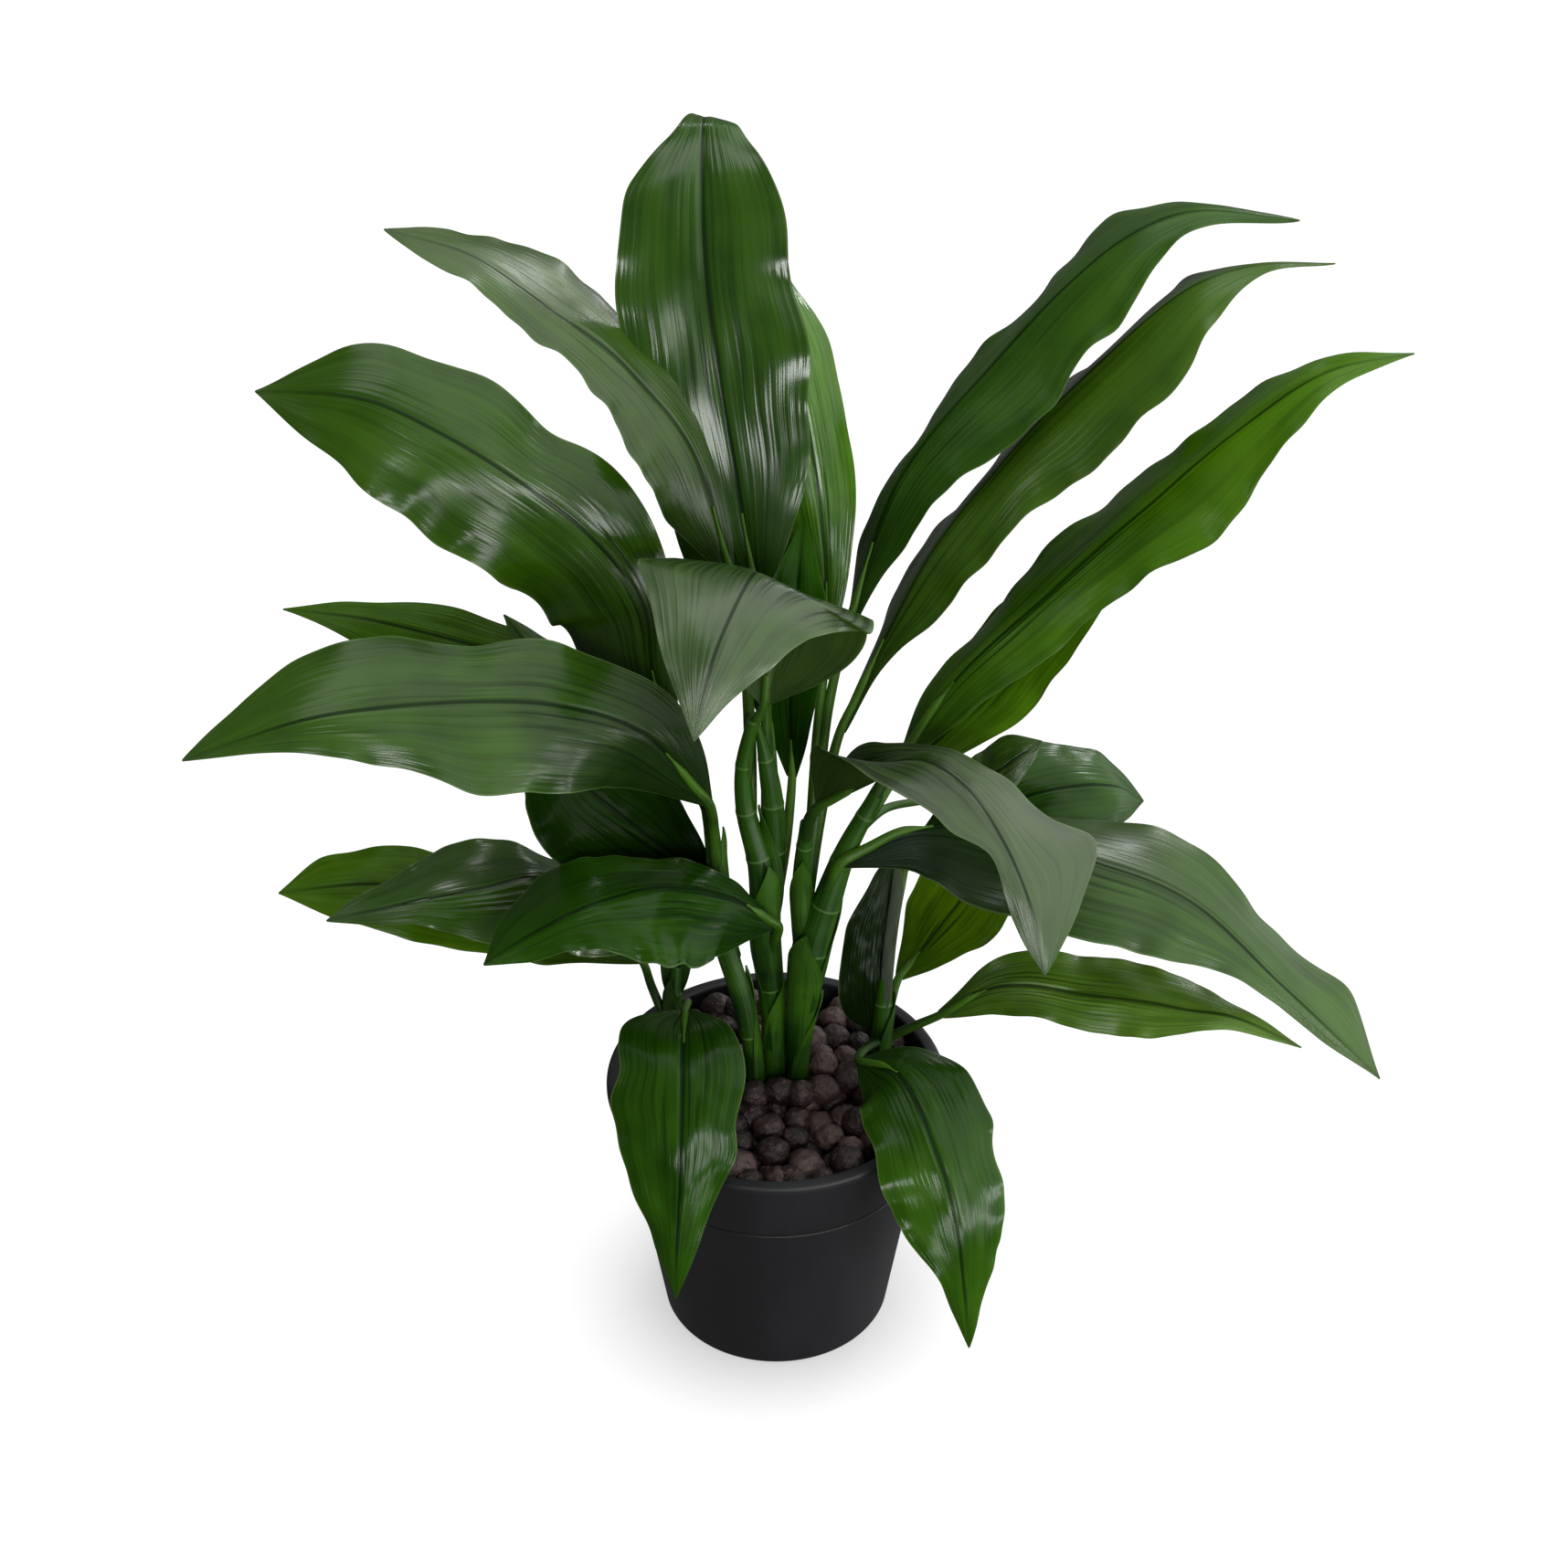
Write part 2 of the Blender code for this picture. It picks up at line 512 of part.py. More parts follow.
YOUNG_RIGHT_SHOOT = {
    "root": (53, 22, 5.5),
    "canes": [
        ([(53, 22, 149), (54, 24, 166), (55, 27, 185)], (5.2, 5.0, 3.4)),
    ],
    "leaves": [
        # low leaf behind the long drooping one
        leaf([(55, 25, 150), (59, 38, 163)],
             [(63, 48, 169), (75, 60, 178), (94, 78, 194), (112, 95, 212), (132, 115, 232)],
             (14, 26, 31, 28, 18), (14, 22, 26, 24, 15),
             [(-0.5, -1, 0.4), (-0.4, -0.6, 1), (0, -0.6, 1)], thick=3.0),
        # leaf at the back right, its end bent over
        leaf([(55, 27, 165), (58, 32, 205), (62, 38, 232)],
             [(66, 46, 245), (95, 58, 260), (135, 69, 270), (168, 81, 265), (188, 98, 244)],
             (12, 22, 28, 29, 20), (12, 20, 25, 26, 18),
             [(0, -1, 0.4), (0, -0.6, 1), (0, -0.6, 1)], thick=3.0),
        # low leaf at the far right
        leaf([(55, 22, 149), (68, 23, 156)],
             [(83, 22, 165), (106, 20, 183), (124, 18, 187), (151, 14, 185), (178, 10, 184),
              (204, 5, 182), (227, 0, 181), (261, -5, 166)],
             (7, 17, 20, 23, 21, 19, 9, 4), (13, 15, 16, 18, 18, 14, 7, 4),
             [(0, -1, 0.4), (0, -0.6, 1), (0, -0.6, 1)], thick=2.6, wave=(1.8, 3.0, 0.2)),
        # leaf that droops over the front right of the rim
        leaf([(52, 20, 150), (45, 4, 158)],
             [(41, -15, 166), (60, -35, 174), (77, -70, 155), (84, -82, 137), (89, -92, 111),
              (95, -100, 54)],
             (16, 31, 33, 30, 28, 24, 17, 8), (24, 26, 28, 30, 28, 20, 11, 6),
             [(0, -0.5, 1), (0.3, -1, 0.6), (0.3, -1, 0.3)], thick=2.6, wave=(1.8, 3.0, 0.0)),
        # rolled dark leaf that stands up
        leaf([(53, 21, 147), (53, 21.5, 150)],
             [(53, 22, 153), (52, 24, 176), (53, 30, 201), (56, 37, 226), (59, 44, 250)],
             (16, 21, 22, 21, 20, 19, 16, 12, 8), (5, 6, 8, 8, 8, 8, 8, 8, 6),
             [(-0.3, -1, 0.2), (-0.3, -1, 0.2), (-0.3, -1, 0.2)],
             fold=(25, 25), wave=(0.5, 1.0, 0.0), thick=3.4),
    ],
}

SHOOTS = {
    "left_shoot": LEFT_SHOOT,
    "centre_shoot": CENTRE_SHOOT,
    "right_shoot": RIGHT_SHOOT,
    "young_left_shoot": YOUNG_LEFT_SHOOT,
    "young_right_shoot": YOUNG_RIGHT_SHOOT,
}


# The pieces

def inner_radius(height):
    """Inner radius of the pot's wall at a height."""
    share = height / POT_HEIGHT
    return POT_BASE_RADIUS + (POT_RIM_RADIUS - LIP_WIDTH - BAND_STEP - POT_BASE_RADIUS) * share - POT_WALL


def outer_radius(height):
    return inner_radius(height) + POT_WALL


def make_pot(collection):
    """A thin-walled pot with a flat floor, a stepped rim band and a rolled lip."""
    band_foot = POT_HEIGHT - BAND_HEIGHT
    lip_foot = POT_HEIGHT - LIP_HEIGHT
    profile = [
        (0.0, POT_FLOOR),
        (inner_radius(POT_FLOOR), POT_FLOOR),
        (inner_radius(band_foot), band_foot),
        (inner_radius(POT_HEIGHT), POT_HEIGHT - EDGE_CHAMFER),
        (inner_radius(POT_HEIGHT) + EDGE_CHAMFER, POT_HEIGHT),
        (POT_RIM_RADIUS - LIP_CHAMFER, POT_HEIGHT),
        (POT_RIM_RADIUS, POT_HEIGHT - LIP_CHAMFER),
        (POT_RIM_RADIUS, lip_foot + EDGE_CHAMFER),
        (POT_RIM_RADIUS - EDGE_CHAMFER, lip_foot),
        (outer_radius(lip_foot) + BAND_STEP, lip_foot - EDGE_CHAMFER),
        (outer_radius(band_foot) + BAND_STEP, band_foot + EDGE_CHAMFER),
        (outer_radius(band_foot), band_foot),
        (outer_radius(POT_BASE_ROUNDING), POT_BASE_ROUNDING),
        (POT_BASE_RADIUS - POT_BASE_ROUNDING * ARC_MIDDLE, POT_BASE_ROUNDING * ARC_MIDDLE),
        (POT_BASE_RADIUS - POT_BASE_ROUNDING, 0.0),
        (0.0, 0.0),
    ]
    pot = turned("pot", profile, POT_SEGMENTS, collection)
    smooth_round(pot, SHARP_ANGLE)
    return pot


def make_medium(collection):
    """The growing medium that fills the pot up to the pebbles."""
    foot = POT_FLOOR + GAP
    profile = [
        (0.0, MEDIUM_TOP),
        (inner_radius(MEDIUM_TOP) - GAP, MEDIUM_TOP),
        (inner_radius(foot) - GAP, foot),
        (0.0, foot),
    ]
    return turned("growing_medium", profile, POT_SEGMENTS, collection)


def pebble_layout():
    """Centres and radii of the clay pebbles: a seeded spiral that fills the pot's mouth."""
    draw = random.Random(PEBBLE_SEED)
    pebbles = []
    for index in range(PEBBLE_COUNT):
        reach = PEBBLE_REACH * math.sqrt((index + 0.5) / PEBBLE_COUNT)
        turn = index * GOLDEN_ANGLE + draw.uniform(-PEBBLE_TURN_PLAY, PEBBLE_TURN_PLAY)
        x = reach * math.cos(turn)
        y = reach * math.sin(turn)
        radius = draw.uniform(PEBBLE_RADIUS_SMALL, PEBBLE_RADIUS_LARGE)
        z = PEBBLE_BED_TOP + BED_TILT * y + draw.uniform(PEBBLE_LOWEST, PEBBLE_HIGHEST)
        pebbles.append((x, y, z, radius))
    return pebbles


def pebble_height(x, y, pebbles):
    """Height of the pebble layer's surface over a point."""
    height = PEBBLE_BED_TOP - HOLLOW_DEPTH
    for px, py, pz, radius in pebbles:
        apart = (x - px)**2 + (y - py)**2
        if apart < radius**2:
            height = max(height, pz + math.sqrt(radius**2 - apart))
    return height


def make_pebbles(collection):
    """The layer of clay pebbles, raised from a turned disc."""
    foot = MEDIUM_TOP + GAP
    wall_top = PEBBLE_BED_TOP - HOLLOW_DEPTH
    rim = inner_radius(foot) - GAP
    radii = [rim * (PEBBLE_RINGS - ring) / PEBBLE_RINGS for ring in range(PEBBLE_RINGS)]
    profile = [(0.0, wall_top)]
    profile += [(radius, wall_top) for radius in reversed(radii)]
    profile += [(rim, foot), (0.0, foot)]
    layer = turned("clay_pebbles", profile, PEBBLE_SEGMENTS, collection)
    pebbles = pebble_layout()
    for point in layer.data.vertices:
        from_axis = math.hypot(point.co.x, point.co.y)
        if point.co.z > wall_top - SAME_PLACE and from_axis < rim - SAME_PLACE:
            point.co.z = pebble_height(point.co.x, point.co.y, pebbles)
    split_into_triangles(layer.data)
    return layer


def root_cylinder(name, shoot, play, foot, top, collection):
    """An upright cylinder at a shoot's root, wider than the root by the play."""
    x, y, radius = shoot["root"]
    bpy.ops.mesh.primitive_cylinder_add(
        vertices=ROOT_SIDES, radius=radius * MM + play, depth=top - foot,
        location=(x * MM, y * MM, (top + foot) / 2), rotation=(0, 0, ROOT_TURN))
    item = bpy.context.object
    item.name = name
    for holder in list(item.users_collection):
        holder.objects.unlink(item)
    collection.objects.link(item)
    return item


def cut_root_holes(item, cutters):
    """Plain round holes for the roots of the shoots."""
    for name, shoot in SHOOTS.items():
        root_cylinder(f"hole_{name}", shoot, GAP, ROOT_FOOT - GAP, HOLE_TOP, cutters)
    join_by_boolean(item, cutters, "DIFFERENCE")


def make_shoot(name, shoot, collection):
    """One leafy shoot: root, canes, stalks and blades in one body."""
    body = root_cylinder(name, shoot, 0.0, ROOT_FOOT, ROOT_TOP, collection)
    grown = new_collection(f"{name}_growth")
    for number, (points, radii) in enumerate(shoot["canes"], 1):
        cane(points, radii, f"{name}_cane_{number}", grown)
    for number, one_leaf in enumerate(shoot["leaves"], 1):
        stalk_and_rib(one_leaf, f"{name}_stalk_{number}", grown)
        add_object(f"{name}_blade_{number}", blade_mesh(f"{name}_blade_{number}", one_leaf), grown)
    join_by_boolean(body, grown, "UNION")
    bpy.data.collections.remove(grown)
    smooth_round(body, FOLIAGE_SHARP_ANGLE)
    return body


def assign(item, material):
    item.data.materials.clear()
    item.data.materials.append(material)


def main():
    clear_scene()
    parts = new_collection("potted_dracaena")
    cutters = new_collection("root_hole_cutters")
    pot = make_pot(parts)
    assign(pot, principled("black_pot_plastic", *POT_PLASTIC))
    medium = make_medium(parts)
    cut_root_holes(medium, cutters)
    assign(medium, principled("growing_medium", *MEDIUM_SOIL))
    pebbles = make_pebbles(parts)
    cut_root_holes(pebbles, cutters)
    assign(pebbles, principled("fired_clay", *FIRED_CLAY))
    bpy.data.collections.remove(cutters)
    for name, shoot in SHOOTS.items():
        body = make_shoot(name, shoot, parts)
        assign(body, principled(f"{name}_leaf_green", *LEAF_GREEN))


main()
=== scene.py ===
"""The looks of a potted dracaena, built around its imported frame.

Lengths are in metres, apart from the foliage's, which are in millimetres and scaled by MM.
"""
import math
import random

import bmesh
import bpy
import numpy as np
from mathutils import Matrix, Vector, noise

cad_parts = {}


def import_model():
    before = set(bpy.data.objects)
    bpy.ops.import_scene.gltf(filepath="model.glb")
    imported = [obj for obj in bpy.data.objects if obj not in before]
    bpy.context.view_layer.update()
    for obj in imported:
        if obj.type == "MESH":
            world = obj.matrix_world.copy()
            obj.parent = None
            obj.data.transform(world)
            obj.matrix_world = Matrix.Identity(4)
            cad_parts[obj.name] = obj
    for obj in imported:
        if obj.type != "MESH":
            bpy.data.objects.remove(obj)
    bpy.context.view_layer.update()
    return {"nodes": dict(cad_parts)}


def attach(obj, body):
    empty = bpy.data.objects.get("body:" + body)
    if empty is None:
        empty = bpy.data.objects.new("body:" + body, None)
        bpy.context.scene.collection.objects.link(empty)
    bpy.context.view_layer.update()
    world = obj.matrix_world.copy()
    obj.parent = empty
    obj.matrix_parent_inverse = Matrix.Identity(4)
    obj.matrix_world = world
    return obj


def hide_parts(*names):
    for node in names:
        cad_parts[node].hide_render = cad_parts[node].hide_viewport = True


MM = 0.001
WHITE = (1.0, 1.0, 1.0)
CURVE_STEPS = 20
TINY = 1e-9
NEARLY_ALONG = 0.1
COLOUR_MIX_INPUTS = (0, 6, 7)
SMOOTH_ANGLE = math.radians(40)

# Camera, fitted to the pot's rim and base in the photo
CAMERA_PLACE = (0.0041, -1.0967, 1.0607)
CAMERA_TILT = math.radians(56)
CAMERA_LENS = 65
SENSOR_WIDTH = 36

# Pot, as in the CAD
POT_HEIGHT = 0.144
POT_RIM_RADIUS = 0.085
POT_BASE_RADIUS = 0.058
POT_WALL = 0.0022
POT_FLOOR = 0.003
POT_BASE_ROUNDING = 0.004
LIP_WIDTH = 0.0035
LIP_HEIGHT = 0.004
LIP_ROUNDING = 0.0014
LIP_TUCK = 0.0004
BAND_HEIGHT = 0.042
BAND_STEP = 0.0012
BAND_BEAD = 0.0007
BAND_TUCK = 0.0001

# The pot's profile: where its straight runs start and stop, and how many points they have
INNER_WALL_START = 0.01
EDGE_GAP = 0.004
WALL_POINTS = 8
BAND_POINTS = 5
BEAD_STEPS = 8
ARC_STEPS = 6
POT_SEGMENTS = 160
POT_SMOOTH_ANGLE = math.radians(30)
TURNED_MERGE = 0.00005

# Pebbles: the top layer as in the CAD, then the heaped ones and a lower layer
MEDIUM_TOP = 0.118
PEBBLE_BED_TOP = 0.1345
PEBBLE_COUNT = 92
PEBBLE_RADIUS_SMALL = 0.0064
PEBBLE_RADIUS_LARGE = 0.0094
PEBBLE_REACH = 0.0745
PEBBLE_TURN_PLAY = 0.12
PEBBLE_LOWEST = -0.0015
PEBBLE_HIGHEST = 0.0025
PEBBLE_SEED = 7
GOLDEN_ANGLE = math.pi * (3 - math.sqrt(5))
BED_TILT = 0.05
HEAPED_PEBBLES = [
    (-0.010, -0.012, 0.1415, 0.0072),
    (0.0015, -0.0115, 0.1435, 0.0080),
    (0.0125, -0.0125, 0.1420, 0.0075),
    (0.0235, -0.0095, 0.1425, 0.0082),
    (0.0245, 0.008, 0.1430, 0.0078),
    (0.036, 0.000, 0.1425, 0.0080),
]
LOWER_PEBBLE_COUNT = 70
LOWER_PEBBLE_REACH = 0.062
LOWER_PEBBLE_TURN = 1.3
LOWER_PEBBLE_DROP = 0.009
LOWER_PEBBLE_RADII = (0.0065, 0.0085)
WALL_CLEARANCE = 0.0006
PEBBLE_ROOT_GAP = 0.45

# A pebble's shape: squash along each axis, lumps as size and turns, and pits
PEBBLE_DETAIL = 4
LOWER_PEBBLE_DETAIL = 3
# The lower layer takes the darkest brown: painted shade in the gaps
LOWER_PEBBLE_SHADE = 0.0
PEBBLE_SEED_SPREAD = 50
PEBBLE_SQUASH = ((0.92, 1.06), (0.92, 1.06), (0.88, 1.0))
PEBBLE_LUMPS = ((0.13, 1.3), (0.07, 3.1))
PIT_TURNS = 5.5
PIT_LEVEL = 0.30
PIT_DEPTH = 0.34

# Floor and room: a spread is where a glow starts, where it is full, and its strength
FLOOR_SIZE = 60
FLOOR_COLOUR = (0.22, 0.22, 0.22)
FLOOR_ROUGHNESS = 0.9
FLOOR_GLOW = 0.90
# Near the pot the floor's glow dims: a painted contact shadow
CONTACT_SHADOW_GLOW = 0.58
CONTACT_SHADOW_REACH = 0.075
CONTACT_SHADOW_SPAN = (0.45, 0.98)
ROOM_GLOW = 0.12
BRIGHT_SIDE = (80, 32)
BRIGHT_SIDE_SPREAD = (0.35, 0.85, 1.35)
CEILING_SPREAD = (0.92, 0.99, 1.9)

# Lamps: azimuth and elevation in degrees, distance, width, height, brightness, seen in reflections
LIGHT_AIM = (0.0, 0.0, 0.30)
LAMPS = [
    ("front_window", 172, 19, 1.7, 0.48, 0.36, 14.0, True),
    ("low_right_window", 135, -4, 1.2, 0.36, 0.26, 10.0, True),
    ("low_front_window", 157, -14, 0.95, 0.30, 0.12, 10.0, True),
    ("low_side_window", 116, -14, 0.95, 0.16, 0.12, 12.0, True),
    ("back_window", 31, 27, 1.8, 0.30, 0.22, 14.0, True),
    ("high_back_window", -14, 45, 1.8, 0.18, 0.12, 9.0, True),
    ("left_window", -120, 35, 1.7, 0.30, 0.25, 2.0, True),
    ("overhead_fill", 0, 89, 2.2, 2.4, 2.4, 0.80, False),
]

# Greens of the foliage, as deep and light pairs; a span is where a change starts and is full
UPPER_GREENS = ((0.013, 0.046, 0.0015), (0.034, 0.100, 0.005))
UNDER_GREENS = ((0.018, 0.056, 0.0015), (0.046, 0.120, 0.004))
CANE_GREENS = ((0.002, 0.015, 0.0005), (0.024, 0.092, 0.002))
STALK_GREENS = ((0.006, 0.030, 0.001), (0.055, 0.150, 0.006))
SHEATH_GREENS = ((0.003, 0.022, 0.0005), (0.036, 0.115, 0.004))
GREEN_SPAN = (0.48, 0.94)

# Noise on a leaf: cells across and along it, and detail; then what each adds to its lighter green
VEINS = (30, 2.0, 2.0)
FINE_VEINS = (80, 4.0, 1.0)
BANDS = (9, 2.4, 2.0)
VEIN_DRIFT = (2, 1.5, 1.0)
MOTTLE = (30, 3.0)
SEED_SHIFT = (3.7, 1.9)
BANDS_SHARE = 0.45
MOTTLE_SHARE = 0.45
VEINS_SHARE = 0.26
TIP_SHARE = 0.22

# Pale veins and edges, and a painted grey sheen on a right half
VEIN_LINES = 8
VEIN_LINE_SPAN = (0.13, 0.02)
VEIN_PALE = (0.046, 0.090, 0.010)
VEIN_PALENESS = 0.40
UNDER_VEIN_PALENESS = 0.12
VEIN_BREAKS = (0.35, 0.6, 0.35, 1.0)
EDGE_GREEN = (0.10, 0.17, 0.05)
EDGE_SPAN = (0.972, 0.992)
EDGE_PALENESS = 0.5
PAINTED_SHEEN_HALF = (0.13, 0.16, 0.11)
RIGHT_HALF_START = (0.52, 0.60)

# Painted shade: in the grooves, along the midrib line, in the creases and at the feet of the blades
PAINTED_SHADE_GREEN = (0.002, 0.007, 0.003)
MIDRIB_SHADE_WIDTH = 1.1
LINE_SOFTNESS = 0.55
MIDRIB_SHADE_DARKNESS = 0.75
LINE_FADE = (1.0, 0.75, 0.3, 1.0)
GROOVE_SPAN = (0.47, 0.36)
GROOVE_FADE = (0.85, 0.15)
GROOVE_REACH = (0.75, 0.05)
GROOVE_SHADE_DARKNESS = 0.8
UNDER_SHADE_DARKNESS = 0.2
CREASE_SPAN = (0.52, 0.42)
CREASE_CORE = 0.3
CREASE_SHADE_DARKNESS = 0.6
FOOT_SPAN = (0.0, 0.42)
LONG_FOOT_SPAN = (0.15, 0.50)

# Gloss and fine relief of a leaf
UNDER_ROUGHNESS = 0.48
ROUGHNESS_PLAY = 0.16
UNDER_GLOSS_SHARE = 0.4
SHADE_GLOSS_LOSS = 0.8
VEIN_RELIEF = 0.0007
VEIN_RELIEF_STRENGTH = 0.5
FINE_RELIEF = 0.12
MOTTLE_RELIEF = 0.25

# Surface of canes, stalks and sheaths
FIBRES = (22, 2.5, 3.0)
STEM_PATCHES = (45, 2.0)
PATCH_SHARE = 0.6
FIBRE_SHARE = 0.45
TOP_SHARE = 0.35
STEM_SPAN = (0.42, 0.95)
NODE_RING = (0.13, 0.24, 0.06)
NODE_RING_STRENGTH = 0.5
RING_SPAN = (0.985, 0.998)
STEM_GLOSS = 0.32
STALK_ROUGHNESS = 0.28
STALK_ROUGHNESS_PLAY = 0.2
FIBRE_RELIEF = 0.0006
FIBRE_RELIEF_STRENGTH = 0.5

# Surfaces of the pot, the clay and the peat: roughness as gain and start, relief as depth and strength
POT_BLACKS = ((0.0085, 0.0088, 0.0105), (0.0135, 0.014, 0.016))
POT_WEAR = (26, 4.0)
POT_WEAR_STRETCH = (1, 1, 0.4)
POT_WEAR_SPAN = (0.35, 0.75)
POT_ROUGHNESS = (0.16, 0.40)
POT_GRAIN = 900
POT_RELIEF = (0.00006, 0.5)
CLAY_BROWNS = ((0.010, 0.0045, 0.004), (0.080, 0.049, 0.043))
CLAY_TONE_POWER = 2.0
CLAY_SPOTS = (320, 4.0, 0.65)
CLAY_DUST = 900
CLAY_DUSTY = (0.17, 0.10, 0.08)
CLAY_DUSTY_SPAN = (0.50, 0.80, 0.0, 0.7)
CLAY_PORE = (0.005, 0.003, 0.003)
CLAY_PORE_SPAN = (0.44, 0.30)
CLAY_ROUGHNESS = (-0.5, 0.72)
CLAY_DUST_RELIEF = 0.4
CLAY_RELIEF = (0.0013, 0.9)
PEAT_BROWNS = ((0.010, 0.006, 0.004), (0.045, 0.028, 0.018))
PEAT_CRUMBS = (260, 5.0, 0.7)
PEAT_SPAN = (0.35, 0.7)
PEAT_ROUGHNESS = 0.95
PEAT_RELIEF = (0.002, 1.0)

# Blades, in millimetres: their grid, section and edges
BLADE_ROWS = 110
BLADE_HALF_COLUMNS = 22
MIDRIB_CROWDING = 0.45
BLADE_THICKNESS = 0.6
EDGE_THINNING = 0.5
BLADE_BASE_HALF_WIDTH = 2.5
BLADE_TIP_HALF_WIDTH = 0.4
BLADE_CURL = 0.1
WAVE_OFFBEAT = 0.35
EDGE_RIPPLES = ((2.3, 0.9), (4.1, 0.45))
WIDTH_PLAY = 0.03
WIDTH_PLAY_TURNS = 1.7

# Relief of a blade: full from this half width on; cockles as turns across, turns along and height
FULL_RELIEF_HALF_WIDTH = 20
PLEATS = 9
PLEAT_HEIGHT = 0.09
COCKLES = ((0.8, 3.3, 0.26), (-1.3, 5.3, 0.16), (2.1, 9.1, 0.05))
COCKLE_PHASE = 0.3
GROOVE_DEPTH = 0.7
GROOVE_WIDTH = 1.5
GROOVE_LOSS = 0.7
KEEL_HEIGHT = 1.5
KEEL_LOSS = 0.85

# Stalks and canes, in millimetres
STALK_END_RADIUS = 1.7
STALK_RADIUS = 3.4
STALK_SIDES = 20
STALK_RINGS = 36
STALK_TAPER = 6
STALK_THINNEST = 0.35
RUN_ON_SAMPLES = 41
RUN_ON_TAKEN = slice(0, 8, 2)
CANE_SIDES = 32
CANE_RINGS = 90
CANE_FOOT_GAP = 1
ROOTED_BELOW = 160
NODE_SPACING = 26
NODE_SWELLING = 0.06
NODE_SHARPNESS = 24

# Sheaths: rows along, columns round, and sizes in millimetres
SHEATH_ROWS = 30
SHEATH_COLUMNS = 20
SHEATH_THICKNESS = 0.5
SHEATH_CLEARANCE = 0.3
SHEATH_FLARE = 0.5
SHEATH_POINT = 2.4
SHEATH_TIP_TURN = 0.02
SHEATH_PATTERN_WIDTH = 20


# How single leaves look: young ones are lighter, low and shaded ones duller; the tones also hold painted
# light and shade, darker for shaded leaves and lighter for lit ones

def look(tone=(1.0, 1.0, 1.0), gloss=0.45, rough=0.20, foot=0.4, foot_span=FOOT_SPAN,
         right_painted_sheen=0.0, creases=None):
    """What sets a leaf's surface apart.

    tone: gain on its greens, partly the leaf's own green and partly painted light and shade
    gloss: specular level
    rough: roughness of the upper side
    foot: how much painted shade darkens the foot of the blade, in colour and gloss
    foot_span: where along the blade the painted shade at the foot starts to fade and has faded
    right_painted_sheen: how much painted grey sheen lightens the right half
    creases: middle and half length of creases along the blade, where it bends sharply, darkened with
    painted shade
    """
    return {"tone": tone, "gloss": gloss, "rough": rough, "foot": foot, "foot_span": foot_span,
            "right_painted_sheen": right_painted_sheen, "creases": creases}


PLAIN_LOOK = look()
LEAF_LOOKS = {
    "left_shoot": {
        1: look((1.0, 0.95, 0.5), 0.36),
        2: look((1.05, 0.98, 0.8), 0.36, rough=0.26, foot=0.6, foot_span=LONG_FOOT_SPAN),
        3: look((1.7, 1.5, 0.8), 0.10),
        4: look((1.4, 1.3, 1.2), 0.30),
        5: look((0.25, 0.32, 0.3), 0.02),
        6: look((0.95, 0.95, 0.8), 0.68, rough=0.17),
    },
    "centre_shoot": {
        1: look((1.1, 0.95, 1.6), 0.90, rough=0.36, foot=0.0, creases=(0.46, 0.15)),
        2: look((0.95, 1.0, 0.6), 0.55),
        4: look((1.25, 1.02, 1.3), 0.56, rough=0.33),
        5: look((0.5, 0.7, 0.2), 0.03),
        6: look((0.6, 0.75, 0.4), 0.16),
    },
    "right_shoot": {
        1: look((2.5, 2.3, 1.7), 0.55, foot=0.3),
        2: look((0.95, 0.78, 1.5), 0.62, rough=0.30, foot=0.3, creases=(0.25, 0.25)),
        3: look((1.15, 1.05, 0.9), 0.42, rough=0.30, foot=0.85, foot_span=LONG_FOOT_SPAN),
        4: look((1.15, 1.2, 0.8), 0.34, rough=0.28, foot=0.5),
        5: look((1.8, 1.5, 1.4), 0.48, foot=0.5),
        6: look((2.4, 2.2, 0.8), 0.38, foot=0.5),
        7: look((2.9, 2.4, 1.0), 0.10),
        8: look((1.3, 1.1, 1.4), 0.55, rough=0.30, foot=0.0),
    },
    "young_left_shoot": {
        1: look((1.6, 1.35, 0.6), 0.08),
        2: look((0.65, 0.8, 0.3), 0.18, rough=0.22, foot=0.2),
    },
    "young_right_shoot": {
        1: look((3.1, 2.3, 0.5), 0.05, foot=0.3),
        2: look((0.8, 0.9, 0.5), 0.20),
        3: look((3.0, 2.2, 2.6), 0.36, rough=0.32),
        4: look((0.85, 0.95, 0.3), 0.22, rough=0.20, foot=0.3),
        5: look((0.25, 0.22, 0.5), 0.09, foot=0.2, right_painted_sheen=0.8),
    },
}


# Smooth curves

def unit(vectors):
    length = np.linalg.norm(vectors, axis=-1, keepdims=True)
    return vectors / np.maximum(length, TINY)


def travelled_along(points):
    """Distance along a line of points, from its first one."""
    steps = np.linalg.norm(np.diff(points, axis=0), axis=1)
    return np.concatenate([[0], np.cumsum(steps)])


